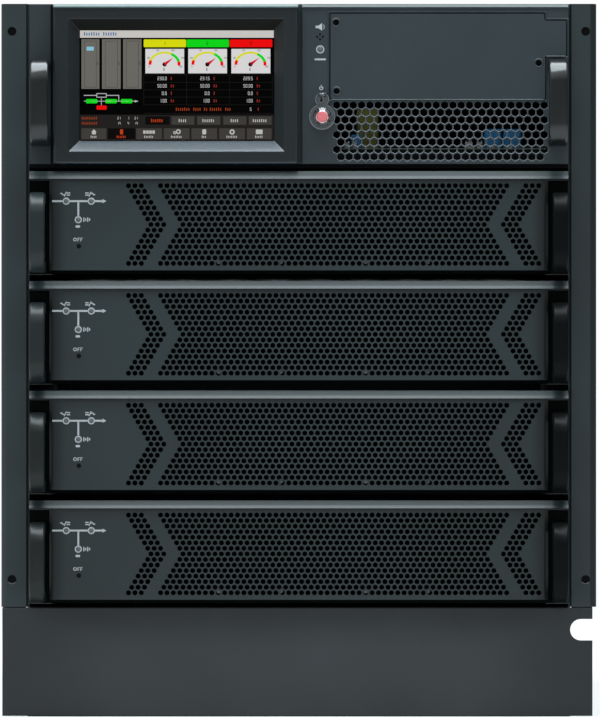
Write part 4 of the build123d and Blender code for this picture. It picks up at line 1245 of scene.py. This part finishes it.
CAMERA_DISTANCE = 6.0
CAMERA_X, CAMERA_Z = 0.00097, 0.2903
FRAME_HEIGHT = 0.5813
FLOOR_REACH = 60.0
FLOOR_SHEET = 0.02
FLOOR_GREY = 0.6
GLOW_SPAN, GLOW = (1.2, 5.0), (0.5, 0.76)
ROOM_COLOUR = (0.96, 0.98, 1.0)
WALL_SPAN, WALL_LIGHT = (-0.9, 0.9), (0.78, 0.2)
WALL_MIRRORED = 0.4
CEILING_SPAN = (0.1, 0.8)
SOFTBOX_PLACE, SOFTBOX_TARGET = (0, -0.45, 2.3), (0, -0.45, 0)
SOFTBOX_SIZE, SOFTBOX_WATTS = (2.2, 1.9), 82
SOFTBOX_COLOUR = (0.84, 0.95, 1.0)


def frontal_camera():
    """A long lens straight on to the front, with the frame's height set at the front plate."""
    camera = bpy.data.cameras.new("camera")
    camera.sensor_width = 36.0
    camera.lens = camera.sensor_width * CAMERA_DISTANCE / FRAME_HEIGHT
    camera.clip_end = 150.0
    viewer = add_to_scene("camera", camera)
    viewer.location = (CAMERA_X, RACK_Y * MM - CAMERA_DISTANCE, CAMERA_Z)
    viewer.rotation_euler = (math.radians(90), 0, 0)
    bpy.context.scene.camera = viewer


def studio_world():
    """White where it is seen. As light, a room with a dim right-hand wall, whose ceiling mirrors white."""
    world = bpy.data.worlds.new("studio")
    bpy.context.scene.world = world
    room = Nodes(world)
    path = room.node("LightPath").outputs
    wall = room.growing(room.coordinate("Generated", "X"), WALL_SPAN, WALL_LIGHT)
    fill = room.tree.nodes["Background"]
    room.feed(fill.inputs["Color"], (*ROOM_COLOUR, 1))
    mirrored = room.spread(path["Is Glossy Ray"], 1.0, WALL_MIRRORED)
    room.feed(fill.inputs["Strength"], room.both(wall, mirrored))
    white = room.node("Background", {"Color": (1, 1, 1, 1), "Strength": 1.0})
    ceiling = room.growing(room.coordinate("Generated", "Z"), CEILING_SPAN, (0.0, 1.0))
    shown = room.largest(path["Is Camera Ray"], path["Is Transmission Ray"],
                         room.both(path["Is Glossy Ray"], ceiling))
    shaders = {1: fill.outputs["Background"], 2: white.outputs["Background"]}
    mix = room.node("MixShader", {"Fac": shown, **shaders})
    room.feed(room.tree.nodes["World Output"].inputs["Surface"], mix.outputs["Shader"])


def studio_floor():
    """A pale floor that keeps the object's shadow and glows where it is seen, more so further out."""
    coat = Coat("pale_floor")
    coat.set({"Base Color": (FLOOR_GREY, FLOOR_GREY, FLOOR_GREY, 1), "Roughness": 0.9})
    coat.shine(0.0)
    path = coat.node("LightPath").outputs
    shown = coat.largest(path["Is Camera Ray"], path["Is Transmission Ray"])
    position = coat.node("TexCoord").outputs["Object"]
    distance = coat.node("VectorMath", {"Vector": position}, operation="LENGTH").outputs["Value"]
    glow = coat.node("Emission", {"Strength": coat.both(shown, coat.growing(distance, GLOW_SPAN, GLOW))})
    both = coat.node("AddShader", {0: coat.shader.outputs["BSDF"], 1: glow.outputs["Emission"]})
    coat.feed(coat.tree.nodes["Material Output"].inputs["Surface"], both.outputs["Shader"])
    shape = Shape()
    reach = FLOOR_REACH / MM
    shape.bar(-reach, reach, -FLOOR_SHEET / MM, 0.0, -reach, reach)
    floor = add_to_scene("floor", shape.mesh("floor", coat))


def overhead_softbox():
    lamp = bpy.data.lights.new("overhead_softbox", "AREA")
    lamp.shape = "RECTANGLE"
    lamp.size, lamp.size_y = SOFTBOX_SIZE
    lamp.energy = SOFTBOX_WATTS
    lamp.color = SOFTBOX_COLOUR
    holder = add_to_scene("overhead_softbox", lamp)
    holder.location = SOFTBOX_PLACE
    aim = Vector(SOFTBOX_TARGET) - Vector(SOFTBOX_PLACE)
    holder.rotation_euler = aim.to_track_quat("-Z", "Y").to_euler()


frontal_camera()
studio_world()
studio_floor()
overhead_softbox()

bpy.context.scene.view_settings.view_transform = "Standard"
